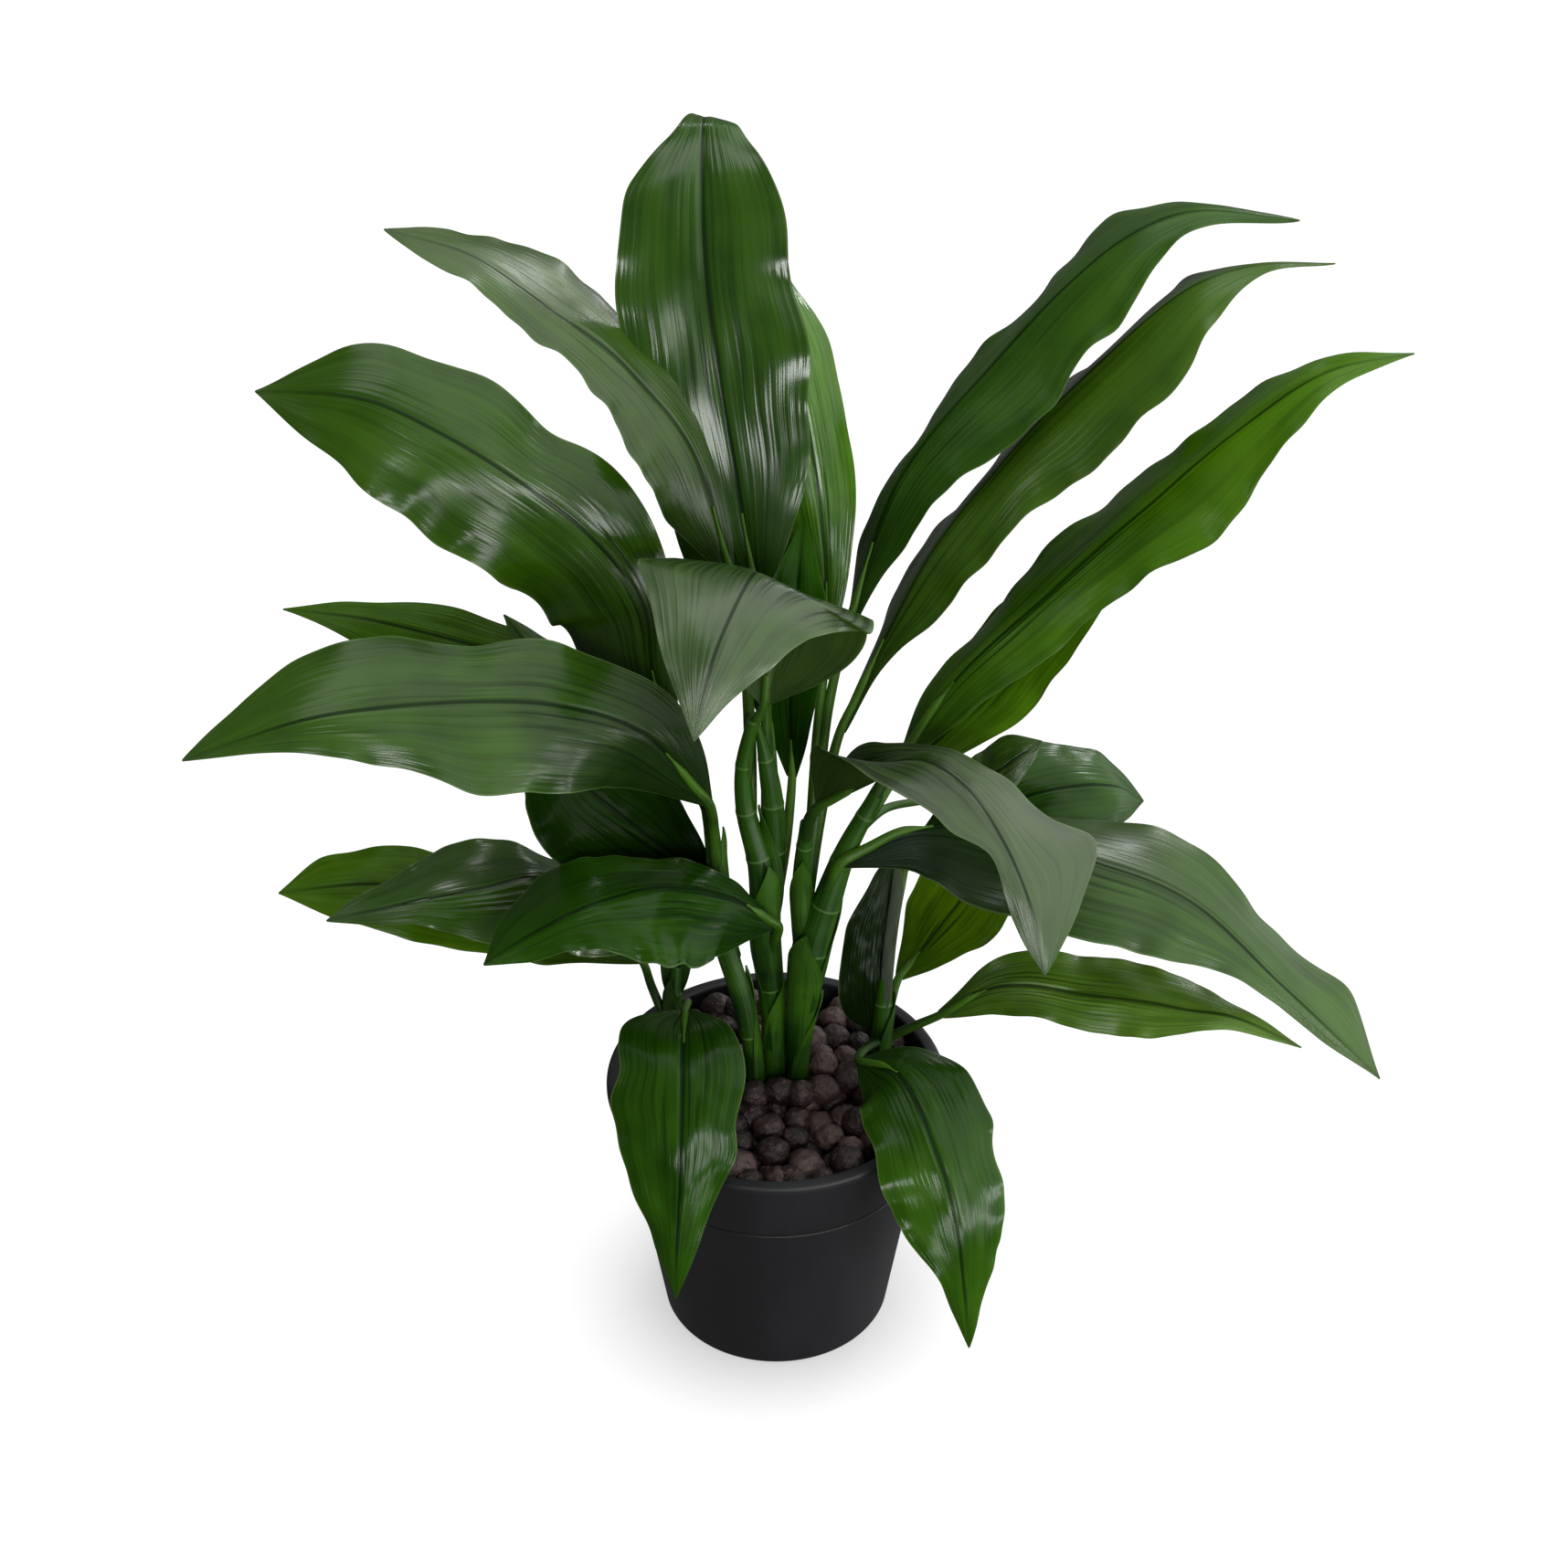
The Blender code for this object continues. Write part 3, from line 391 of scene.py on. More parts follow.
def smooth_curve(points, count):
    """Evenly spaced points on one smooth curve through the control points."""
    knots = np.array(points, float)
    first = 2 * knots[0] - knots[1]
    last = 2 * knots[-1] - knots[-2]
    padded = np.vstack([first, knots, last])
    dense = []
    for i in range(1, len(padded) - 2):
        before, start, end, after = padded[i - 1:i + 3]
        gap_0 = math.sqrt(np.linalg.norm(start - before))
        gap_1 = math.sqrt(np.linalg.norm(end - start))
        gap_2 = math.sqrt(np.linalg.norm(after - end))
        pull_0 = ((start - before) / gap_0 - (end - before) / (gap_0 + gap_1)) * gap_1 + (end - start)
        pull_1 = ((after - end) / gap_2 - (after - start) / (gap_1 + gap_2)) * gap_1 + (end - start)
        for t in np.linspace(0, 1, CURVE_STEPS, endpoint=False):
            from_start = (2 * t**3 - 3 * t**2 + 1) * start + (t**3 - 2 * t**2 + t) * pull_0
            to_end = (3 * t**2 - 2 * t**3) * end + (t**3 - t**2) * pull_1
            dense.append(from_start + to_end)
    dense.append(knots[-1])
    dense = np.array(dense)
    travelled = travelled_along(dense)
    wanted = np.linspace(0, travelled[-1], count)
    return np.stack([np.interp(wanted, travelled, dense[:, k]) for k in range(3)], axis=1)


def even_spline(values, places):
    """A smooth line through evenly spaced values, read at places from 0 to 1."""
    values = np.array(values, float)
    if values.ndim == 1:
        values = values[:, None]
    padded = np.vstack([2 * values[0] - values[1], values, 2 * values[-1] - values[-2]])
    along = np.clip(places, 0, 1) * (len(values) - 1)
    index = np.minimum(along.astype(int), len(values) - 2)
    t = (along - index)[:, None]
    a, b, c, d = (padded[index + k] for k in range(4))
    cubic = (3 * b - a - 3 * c + d) * t**3
    square = (2 * a - 5 * b + 4 * c - d) * t**2
    return 0.5 * (2 * b + (c - a) * t + square + cubic)


# The shoots: where each roots, its canes, leaves and sheaths

def leaf(stalk, blade, left, right, face, fold=(-6, -6), wave=(2.0, 2.0, 0.0), thick=STALK_RADIUS):
    """One leaf, in millimetres.

    stalk: control points from inside its cane up to the blade
    blade: control points of the midrib, base to tip
    left, right: half widths at even stations, as seen on the upper side with the tip up
    face: the way the upper side faces, from base to tip
    fold: angles of each half above the flat, in degrees from base to tip, below zero where
        the halves droop
    wave: height, number and start of the waves along the edges
    """
    return {"stalk": stalk, "blade": blade, "left": left, "right": right, "face": face,
            "fold": fold, "wave": wave, "thick": thick}


LEFT_LEAVES = [
    # glossy leaf at upper left
    leaf([(-30, 7, 285), (-36, 8, 319)],
         [(-47, 13, 332), (-56, 12, 370), (-60, 11, 410), (-82, 6, 449), (-112, -5, 483), (-142, -12, 509),
          (-174, -10, 524), (-222, 0, 523)],
         (24, 40, 41, 41, 42, 40, 36, 24), (10, 13, 21, 30, 26, 31, 29, 22),
         [(0, -1, 0.3), (-0.1, -1, 0.7), (0, -0.8, 1)], wave=(2.5, 3.6, 0.1)),
    # broad low leaf at left
    leaf([(-28, 5, 262), (-29, 0, 290)],
         [(-31, -8, 315), (-61, -25, 366), (-100, -45, 393), (-146, -60, 403), (-195, -75, 406),
          (-254, -85, 390)],
         (22, 32, 36, 40, 38, 26, 17, 8), (16, 22, 26, 30, 28, 35, 32, 20),
         [(0, -1, 0.6), (0, -0.8, 0.8), (0, -0.6, 1)], wave=(2.5, 3.0, 0.2)),
    # leaf behind the broad one
    leaf([(-25, 6, 240), (-28, 10, 275)],
         [(-34, 14, 301), (-64, 24, 341), (-106, 32, 364), (-148, 37, 376), (-190, 37, 388),
          (-228, 36, 394)],
         (8, 16, 21, 24, 24, 21, 17, 9), (6, 9, 12, 13, 15, 17, 15, 10),
         [(0, -1, 0.6), (0, -0.6, 0.8), (0, -0.3, 1)]),
    # small pointed leaf between them
    leaf([(-29, 7, 275), (-31, 8, 295)], [(-38, 8, 313), (-71, 10, 350), (-104, 12, 376), (-123, 12, 405)],
         (9, 15, 17, 15, 9), (9, 15, 17, 15, 9), [(0, -1, 0.4), (0, -0.8, 0.8), (0, -0.6, 1)]),
    # shaded leaf under the broad one
    leaf([(-24, 5, 225), (-27, 9, 243)],
         [(-30, 12, 255), (-56, 14, 277), (-82, 11, 304), (-104, 8, 330), (-124, 0, 352)],
         (22, 34, 36, 30, 18), (16, 26, 28, 26, 16), [(0, -1, 0.4), (0, -0.8, 0.8), (0, -0.6, 1)]),
    # low leaf at mid left
    leaf([(-17, 2, 195), (-21, 7, 215)],
         [(-26, 10, 228), (-66, 10, 246), (-109, 5, 264), (-139, 0, 261), (-178, -10, 258),
          (-214, -15, 252)],
         (18, 28, 33, 36, 34, 23, 13, 7), (8, 12, 12, 14, 31, 37, 27, 16),
         [(0, -0.6, 0.6), (0, -0.4, 1), (0, -0.4, 1)], fold=(-12, -12), wave=(2.0, 3.0, 0.4)),
    # low leaf at the back, drooping behind the rim
    leaf([(-12, 0, 162), (-17, 20, 188)],
         [(-28, 42, 199), (-45, 75, 206), (-70, 108, 190), (-92, 132, 158), (-104, 146, 118)],
         (14, 24, 27, 24, 15), (14, 24, 27, 24, 15), [(0, 0.3, 1), (-0.3, 0.3, 1), (-0.5, 0.6, 0.6)],
         thick=2.8),
]

CENTRE_LEAVES = [
    # hanging leaf at the crown
    leaf([(-14, 8, 318), (-11, 7, 345)],
         [(-5, 6, 361), (-2, 9, 399), (-3, 5, 424), (-8, -7, 438), (-14, -24, 438), (-24, -46, 425),
          (-30, -58, 409), (-35, -67, 388)],
         (28, 43, 50, 57, 43, 31, 23, 12), (20, 30, 36, 37, 49, 39, 26, 12),
         [(0.2, 0.9, 0.3), (0.2, 0.9, 0.6), (0.13, -0.1, 1), (0.3, -0.5, 0.9), (0.2, -0.8, 0.8)],
         fold=(-4, -4, -4, -6, -4), wave=(1.0, 2.0, 0.3), thick=3.2),
    # tall upright leaf
    leaf([(-4, 7, 262), (-4, 16, 330), (-5, 20, 372)],
         [(-8, 25, 405), (-18, 38, 463), (-26, 55, 509), (-31, 75, 551), (-32, 98, 583), (-32, 122, 596),
          (-31, 146, 588), (-30, 166, 566)],
         (24, 37, 42, 42, 39, 35, 14, 5), (22, 34, 40, 41, 37, 34, 18, 8),
         [(-0.1, -1, 0.3), (0, -1, 0.5), (0, -0.6, 1)], fold=(6, 6), wave=(2.5, 3.0, 0.2)),
    # leaf that arches to the back
    leaf([(-2, 9, 262), (-1, 18, 300)],
         [(-3, 26, 335), (-12, 55, 385), (-20, 92, 430), (-26, 140, 466), (-28, 190, 470), (-30, 238, 434)],
         (16, 30, 36, 36, 24), (16, 30, 36, 36, 24), [(-0.1, -1, 0.5), (0, -0.6, 1), (0, 0.3, 1)],
         fold=(-5, -5)),
    # long leaf at upper left
    leaf([(-12, 8, 290), (-12, 16, 340), (-15, 20, 390)],
         [(-20, 27, 417), (-37, 33, 478), (-67, 38, 518), (-98, 42, 542), (-129, 42, 566), (-167, 40, 580)],
         (17, 26, 28, 24, 23, 18, 17, 14), (10, 14, 21, 23, 36, 42, 31, 15),
         [(0.25, -0.9, 0.4), (0.6, -0.3, 0.8), (0.28, -0.2, 1)], fold=(-4, -4), wave=(2.0, 3.4, 0.0)),
    # young leaf, still narrow
    leaf([(-2, 8, 235), (5, 18, 275)], [(8, 25, 308), (7, 28, 352), (10, 33, 399), (13, 42, 440)],
         (10, 15, 17, 15, 10), (9, 13, 15, 14, 9), [(-0.3, -1, 0), (0.2, -1, 0), (0.4, -1, 0)],
         fold=(14, 14)),
    # low leaf at front left
    leaf([(-4, 4, 215), (0, -2, 232)],
         [(1, -7, 243), (-21, -18, 268), (-55, -31, 283), (-84, -45, 284), (-111, -55, 275),
          (-134, -65, 264)],
         (25, 31, 35, 37, 34, 21, 16, 10), (5, 12, 20, 26, 32, 38, 34, 20),
         [(0, -0.6, 0.6), (0, -0.4, 1), (0, -0.4, 1)], fold=(-16, -16), wave=(2.0, 3.0, 0.5)),
]

RIGHT_LEAVES = [
    # pale leaf at the back
    leaf([(14, 4, 225), (17, 15, 281), (20, 32, 330)],
         [(24, 45, 367), (23, 58, 414), (15, 75, 469), (3, 95, 510), (-6, 125, 528), (-12, 150, 524)],
         (10, 20, 26, 26, 16), (11, 18, 20, 20, 14), [(-0.2, -1, 0.3), (0.3, -1, 0.3), (0.4, -0.8, 0.6)]),
    # folded leaf at the right
    leaf([(14, 3, 285), (16, 0, 300)],
         [(20, -4, 310), (32, -10, 322), (44, -17, 334), (57, -27, 350), (70, -38, 358), (86, -52, 353),
          (100, -64, 337), (112, -76, 314), (122, -86, 274)],
         (26, 21, 12, 16, 26, 41, 57, 31), (28, 34, 28, 24, 22, 10, 10, 7),
         [(-0.4, 0.75, 0.5), (-0.3, 0.3, 0.9), (0.3, -0.3, 0.9), (0.35, -0.7, 0.4)],
         fold=(60, 50, 4, -8, -8, -8)),
    # long drooping leaf at the right
    leaf([(21, 3, 245), (27, 1, 265)],
         [(31, 0, 275), (66, 8, 290), (110, 12, 282), (155, 12, 267), (200, 8, 247), (247, 0, 203),
          (301, -10, 150)],
         (12, 28, 38, 42, 34, 25, 25, 27), (22, 30, 37, 37, 32, 19, 9, 6),
         [(0, -0.2, 1), (0, -0.4, 1), (0.3, -0.6, 0.8)], fold=(-55, -42, -10, -8, -8),
         wave=(2.5, 3.2, 0.0)),
    # three long leaves at the upper right, and one below them
    leaf([(14, 5, 245), (19, 18, 290), (25, 35, 340)],
         [(33, 46, 375), (57, 60, 449), (100, 72, 503), (148, 84, 551), (184, 92, 566), (235, 95, 561)],
         (13, 12, 15, 26, 26, 34, 40, 18), (9, 20, 26, 34, 34, 29, 16, 7),
         [(-0.6, -0.5, 0.6), (-0.5, -0.25, 0.75), (-0.3, -0.2, 1)], fold=(-18, -18), wave=(2.2, 3.5, 0.3)),
    leaf([(14, 5, 240), (20, 17, 280), (26, 25, 312)],
         [(31, 30, 331), (68, 45, 411), (105, 55, 463), (144, 62, 505), (183, 68, 540), (212, 72, 549),
          (249, 75, 549)],
         (11, 19, 22, 27, 38, 38, 34, 20), (6, 17, 26, 28, 36, 38, 25, 7),
         [(-0.6, -0.5, 0.6), (-0.58, -0.14, 0.8), (-0.3, -0.1, 1)], fold=(-22, -22), wave=(2.2, 3.5, 0.0)),
    leaf([(40, 9, 292), (50, 12, 312)],
         [(59, 14, 326), (85, 20, 367), (126, 28, 407), (166, 35, 446), (205, 40, 482), (244, 45, 510),
          (283, 48, 518)],
         (14, 16, 26, 31, 28, 20, 26, 13), (14, 22, 22, 26, 33, 31, 20, 8),
         [(-0.6, -0.5, 0.6), (-0.5, -0.3, 0.8), (-0.3, -0.2, 1)], fold=(-10, -10), wave=(2.2, 3.5, 0.6)),
    leaf([(36, 8, 282), (47, 20, 292)],
         [(56, 28, 303), (86, 40, 329), (115, 50, 364), (142, 58, 399), (162, 68, 428)],
         (14, 22, 26, 24, 16), (12, 20, 24, 22, 16), [(0.2, -1, 0.4), (-0.4, -0.6, 1), (0, -0.4, 1)]),
    # small leaf whose end shows between its neighbours
    leaf([(38, 11, 284), (54, 36, 282), (70, 46, 279)],
         [(80, 51, 277), (98, 58, 280), (116, 63, 291), (131, 68, 300)],
         (10, 13, 14, 14, 11), (9, 11, 11, 10, 6), [(0, -0.8, 1), (0, -0.8, 1), (0.2, -0.8, 0.8)],
         wave=(1.0, 2.0, 0.3), thick=2.4),
]

YOUNG_LEFT_LEAVES = [
    # low leaf at the far left
    leaf([(-55, 31, 150), (-63, 35, 173)],
         [(-68, 35, 190), (-105, 38, 211), (-149, 35, 227), (-193, 30, 241), (-244, 25, 239)],
         (13, 21, 24, 26, 26, 25, 21, 13), (10, 16, 22, 25, 24, 24, 24, 20),
         [(0, -0.6, 0.6), (0, -0.5, 1), (0, -0.5, 1)], fold=(-8, -8), thick=2.6),
    # leaf that droops over the front left of the rim
    leaf([(-51, 28, 150), (-44, 10, 182)],
         [(-44, -18, 200), (-44, -48, 197), (-44, -75, 176), (-45, -92, 150), (-47, -102, 120),
          (-48, -107, 94)],
         (21, 28, 29, 28, 26, 26, 21, 17, 13, 9, 5), (26, 32, 31, 34, 32, 31, 26, 21, 15, 11, 5),
         [(0, -0.5, 1), (0, -1, 0.6), (0, -1, 0.3)], fold=(20, 0, -8, -8), thick=2.4),
    # rolled young leaf
    leaf([(-52, 31, 150), (-52, 33, 158)], [(-52, 34, 165), (-51, 37, 182), (-48, 42, 208), (-45, 50, 236)],
         (7, 9, 9, 8, 6), (7, 9, 9, 8, 6), [(0, -1, 0.2), (0, -1, 0.2), (0, -1, 0.2)], fold=(25, 25),
         wave=(0.5, 1.0, 0.0), thick=3.0),
]

YOUNG_RIGHT_LEAVES = [
    # low leaf behind the long drooping one
    leaf([(55, 25, 150), (59, 38, 163)],
         [(63, 48, 169), (75, 60, 178), (94, 78, 194), (112, 95, 212), (132, 115, 232)],
         (14, 26, 31, 28, 18), (14, 22, 26, 24, 15), [(-0.5, -1, 0.4), (-0.4, -0.6, 1), (0, -0.6, 1)],
         thick=3.0),
    # leaf at the back right, its end bent over
    leaf([(55, 27, 165), (58, 32, 205), (62, 38, 232)],
         [(66, 46, 245), (95, 58, 260), (135, 69, 270), (168, 81, 265), (188, 98, 244)],
         (12, 22, 28, 29, 20), (12, 20, 25, 26, 18), [(0, -1, 0.4), (0, -0.6, 1), (0, -0.6, 1)], thick=3.0),
    # low leaf at the far right
    leaf([(55, 22, 149), (68, 23, 156)],
         [(83, 22, 165), (106, 20, 183), (124, 18, 187), (151, 14, 185), (178, 10, 184), (204, 5, 182),
          (227, 0, 181), (261, -5, 166)],
         (7, 17, 20, 23, 21, 19, 9, 4), (13, 15, 16, 18, 18, 14, 7, 4),
         [(0, -1, 0.4), (0, -0.6, 1), (0, -0.6, 1)], thick=2.6, wave=(1.8, 3.0, 0.2)),
    # leaf that droops over the front right of the rim
    leaf([(52, 20, 150), (45, 4, 158)],
         [(41, -15, 166), (60, -35, 174), (77, -70, 155), (84, -82, 137), (89, -92, 111), (95, -100, 54)],
         (16, 31, 33, 30, 28, 24, 17, 8), (24, 26, 28, 30, 28, 20, 11, 6),
         [(0, -0.5, 1), (0.3, -1, 0.6), (0.3, -1, 0.3)], thick=2.6, wave=(1.8, 3.0, 0.0)),
    # rolled dark leaf that stands up
    leaf([(53, 21, 147), (53, 21.5, 150)],
         [(53, 22, 153), (52, 24, 176), (53, 30, 201), (56, 37, 226), (59, 44, 250)],
         (16, 21, 22, 21, 20, 19, 16, 12, 8), (5, 6, 8, 8, 8, 8, 8, 8, 6),
         [(-0.3, -1, 0.2), (-0.3, -1, 0.2), (-0.3, -1, 0.2)], fold=(25, 25), wave=(0.5, 1.0, 0.0),
         thick=3.4),
]

# Each shoot: root as place and radius, canes as points and radii, leaves and sheaths. A sheath is
# its cane, start and end along it, turn and half wrap in degrees, and the lean of its top
SHOOTS = {
    "left_shoot": {
        "root": (-10.4, -2.4, 4.0),
        "canes": [
            ([(-10, -2, 146), (-17, 1, 195), (-24, 4, 225), (-28, 6, 262), (-31, 8, 296)],
             (4.0, 4.6, 4.6, 4.4, 3.6)),
        ],
        "leaves": LEFT_LEAVES,
        "sheaths": [(1, 0.3, 0.8, 40, 130, 3), (1, 0.05, 0.5, 220, 140, 1.5),
                    (1, 0.55, 0.98, 150, 120, 2.5)],
    },
    "centre_shoot": {
        "root": (-0.3, 3, 4.8),
        "canes": [
            ([(-0.3, 3, 146), (-2, 5, 190), (-5, 5, 230), (-7, 6, 268), (-14, 8, 300), (-15, 8, 325),
              (-10, 7, 352)],
             (4.8, 5.4, 6.4, 6.8, 5.4, 4.0, 3.0)),
            ([(-5, 6, 225), (-1, 9, 262), (-1, 10, 300), (-4, 10, 325), (-9, 9, 352)],
             (4.0, 5.6, 5.4, 4.4, 0.8)),
        ],
        "leaves": CENTRE_LEAVES,
        "sheaths": [(1, 0.06, 0.36, 150, 150, 1.5), (1, 0.18, 0.5, 300, 140, 1.5),
                    (1, 0.34, 0.66, 120, 130, 2.5), (2, 0.1, 0.62, 20, 130, 1)],
    },
    "right_shoot": {
        "root": (10.6, 1, 5.0),
        "canes": [
            ([(10.6, 1, 146), (12.5, 0, 185), (18, 2, 225), (25, 4, 250), (34, 7, 278), (48, 11, 307)],
             (5.0, 6.2, 8.6, 7.2, 5.2, 3.6)),
            ([(15, 2, 205), (12.5, 5, 260), (15, 2, 297)], (4.4, 4.6, 3.4)),
        ],
        "leaves": RIGHT_LEAVES,
        "sheaths": [(1, 0.06, 0.4, 200, 150, 2), (1, 0.2, 0.6, 60, 140, 3),
                    (1, 0.36, 0.74, 250, 130, 2.5), (2, 0.15, 0.8, 90, 120, 1)],
    },
    "young_left_shoot": {
        "root": (-53, 29, 5.0),
        "canes": [([(-53, 29, 150), (-52, 33, 167), (-50, 37, 185)], (4.7, 4.4, 3.0))],
        "leaves": YOUNG_LEFT_LEAVES,
        "sheaths": [(1, 0.3, 0.9, 60, 120, 1)],
    },
    "young_right_shoot": {
        "root": (53, 22, 5.5),
        "canes": [([(53, 22, 149), (54, 24, 166), (55, 27, 185)], (5.2, 5.0, 3.4))],
        "leaves": YOUNG_RIGHT_LEAVES,
        "sheaths": [(1, 0.3, 0.9, 200, 120, 1)],
    },
}


# Objects and meshes

def new_object(name, data):
    item = bpy.data.objects.new(name, data)
    bpy.context.scene.collection.objects.link(item)
    return item


def smooth(mesh, angle=SMOOTH_ANGLE):
    mesh.shade_smooth()
    mesh.set_sharp_from_angle(angle=angle)


def joined(pieces):
    """Joins (points, faces, uvs, slots) pieces into one."""
    points, faces, uvs, slots = [], [], [], []
    shift = 0
    for piece_points, piece_faces, piece_uvs, piece_slots in pieces:
        points.append(piece_points)
        faces += [tuple(corner + shift for corner in face) for face in piece_faces]
        uvs.append(np.asarray(piece_uvs, float))
        slots += piece_slots
        shift += len(piece_points)
    return np.concatenate(points), faces, np.concatenate(uvs), slots


def mesh_object(name, pieces, materials):
    """One object from pieces that hold points in millimetres, faces, UVs and material slots.

    UVs are a point's place across and along from 0 to 1, then both in millimetres.
    """
    points, faces, uvs, slots = joined(pieces)
    mesh = bpy.data.meshes.new(name)
    mesh.from_pydata(points * MM, [], faces)
    corners = np.empty(len(mesh.loops), int)
    mesh.loops.foreach_get("vertex_index", corners)
    at_corners = uvs.astype(np.float32)[corners]
    for layer_name, columns in (("leaf", at_corners[:, :2]), ("real", at_corners[:, 2:])):
        mesh.uv_layers.new(name=layer_name).uv.foreach_set("vector", columns.ravel())
    mesh.polygons.foreach_set("material_index", slots)
    for material in materials:
        mesh.materials.append(material)
    smooth(mesh)
    return new_object(name, mesh)


def frames_along(points):
    """Two steady cross directions along a line of points."""
    tangent = unit(np.gradient(points, axis=0))
    first = np.cross(tangent[0], (0.0, 1.0, 0.0))
    if np.linalg.norm(first) < NEARLY_ALONG:
        first = np.cross(tangent[0], (1.0, 0.0, 0.0))
    sides = [unit(first)]
    for ahead in tangent[1:]:
        turned = sides[-1] - ahead * np.dot(sides[-1], ahead)
        sides.append(unit(turned))
    side = np.array(sides)
    return side, np.cross(tangent, side)


def tube(points, radii, sides, slot):
    """A closed tube whose radius may change along it."""
    side, up = frames_along(points)
    turns = np.linspace(0, 2 * np.pi, sides, endpoint=False)[None, :, None]
    spokes = np.cos(turns) * side[:, None] + np.sin(turns) * up[:, None]
    rings = points[:, None] + radii[:, None, None] * spokes
    vertices = np.concatenate([rings.reshape(-1, 3), points[:1], points[-1:]])
    count = len(points)
    index = np.arange(count * sides).reshape(count, sides)
    after = np.roll(index, -1, axis=1)
    faces = np.stack([index[:-1], after[:-1], after[1:], index[1:]], axis=2).reshape(-1, 4).tolist()
    faces += [(count * sides, b, a) for a, b in zip(index[0], after[0])]
    faces += [(count * sides + 1, a, b) for a, b in zip(index[-1], after[-1])]
    travelled = travelled_along(points)
    uvs = [(k / sides, ring / (count - 1), 2 * math.pi * radii[ring] * k / sides, travelled[ring])
           for ring in range(count) for k in range(sides)]
    uvs += [(0.5, 0.0, 0.0, 0.0), (0.5, 1.0, 0.0, travelled[-1])]
    return vertices, faces, uvs, [slot] * len(faces)


def closed_sheet(upper, under, across, reach, travelled, slot=0):
    """A thin closed sheet; the under side has the slot after the upper side's.

    across, travelled: place from 0 to 1 of each column, and distance along of each row
    reach: distance across of each point, or of each column
    """
    rows, columns = upper.shape[:2]
    points = np.concatenate([upper.reshape(-1, 3), under.reshape(-1, 3)])
    below = rows * columns
    index = np.arange(rows * columns).reshape(rows, columns)
    a, b = index[:-1, :-1].ravel(), index[:-1, 1:].ravel()
    c, d = index[1:, 1:].ravel(), index[1:, :-1].ravel()
    top_faces = np.stack([a, b, c, d], axis=1)
    low_faces = np.stack([a, d, c, b], axis=1) + below
    border = np.concatenate([index[0, :], index[1:, -1], index[-1, -2::-1], index[-2:0:-1, 0]])
    after = np.roll(border, -1)
    edge_faces = np.stack([border, border + below, after + below, after], axis=1)
    faces = np.concatenate([top_faces, low_faces, edge_faces]).tolist()
    slots = [slot] * len(top_faces) + [slot + 1] * len(low_faces) + [slot] * len(edge_faces)
    place_across, along = np.meshgrid(across, travelled)
    grids = (place_across, along / travelled[-1], np.broadcast_to(reach, along.shape), along)
    uvs = np.stack([grid.ravel() for grid in grids], axis=1)
    return points, faces, np.concatenate([uvs, uvs]), slots


# Leaves

def across_places():
    """Places from edge to edge, closer together at the midrib."""
    even = np.linspace(-1, 1, 2 * BLADE_HALF_COLUMNS + 1)
    crowded = (1 - MIDRIB_CROWDING) * np.abs(even) + MIDRIB_CROWDING * even**2
    return np.sign(even) * crowded


def cockled(across, places, phase):
    """Soft dents in millimetres that break up the reflections on a blade."""
    height = 0.0
    for number, (turns_across, turns_along, size) in enumerate(COCKLES, 1):
        turn = turns_across * across + turns_along * places + number * (phase + COCKLE_PHASE)
        height = height + size * np.sin(2 * np.pi * turn)
    return height


def rippled(places, count, beat):
    """Small ripples in millimetres that run along an edge between its main waves."""
    height = 0.0
    for turns, size in EDGE_RIPPLES:
        height = height + size * np.sin(2 * np.pi * (turns * count * places + 2 * beat))
    return height


def blade_frame(leaf, places):
    """A blade's middle line, its directions to the side and out of the upper side, and half widths."""
    middle = smooth_curve(leaf["blade"], len(places))
    tangent = unit(np.gradient(middle, axis=0))
    face = even_spline(unit(np.array(leaf["face"], float)), places)
    normal = unit(face - (face * tangent).sum(axis=1, keepdims=True) * tangent)
    halves = []
    for half in ("left", "right"):
        widths = even_spline([BLADE_BASE_HALF_WIDTH, *leaf[half], BLADE_TIP_HALF_WIDTH], places)
        halves.append(np.maximum(widths, BLADE_TIP_HALF_WIDTH))
    return middle, unit(np.cross(tangent, normal))[:, None], normal[:, None], halves


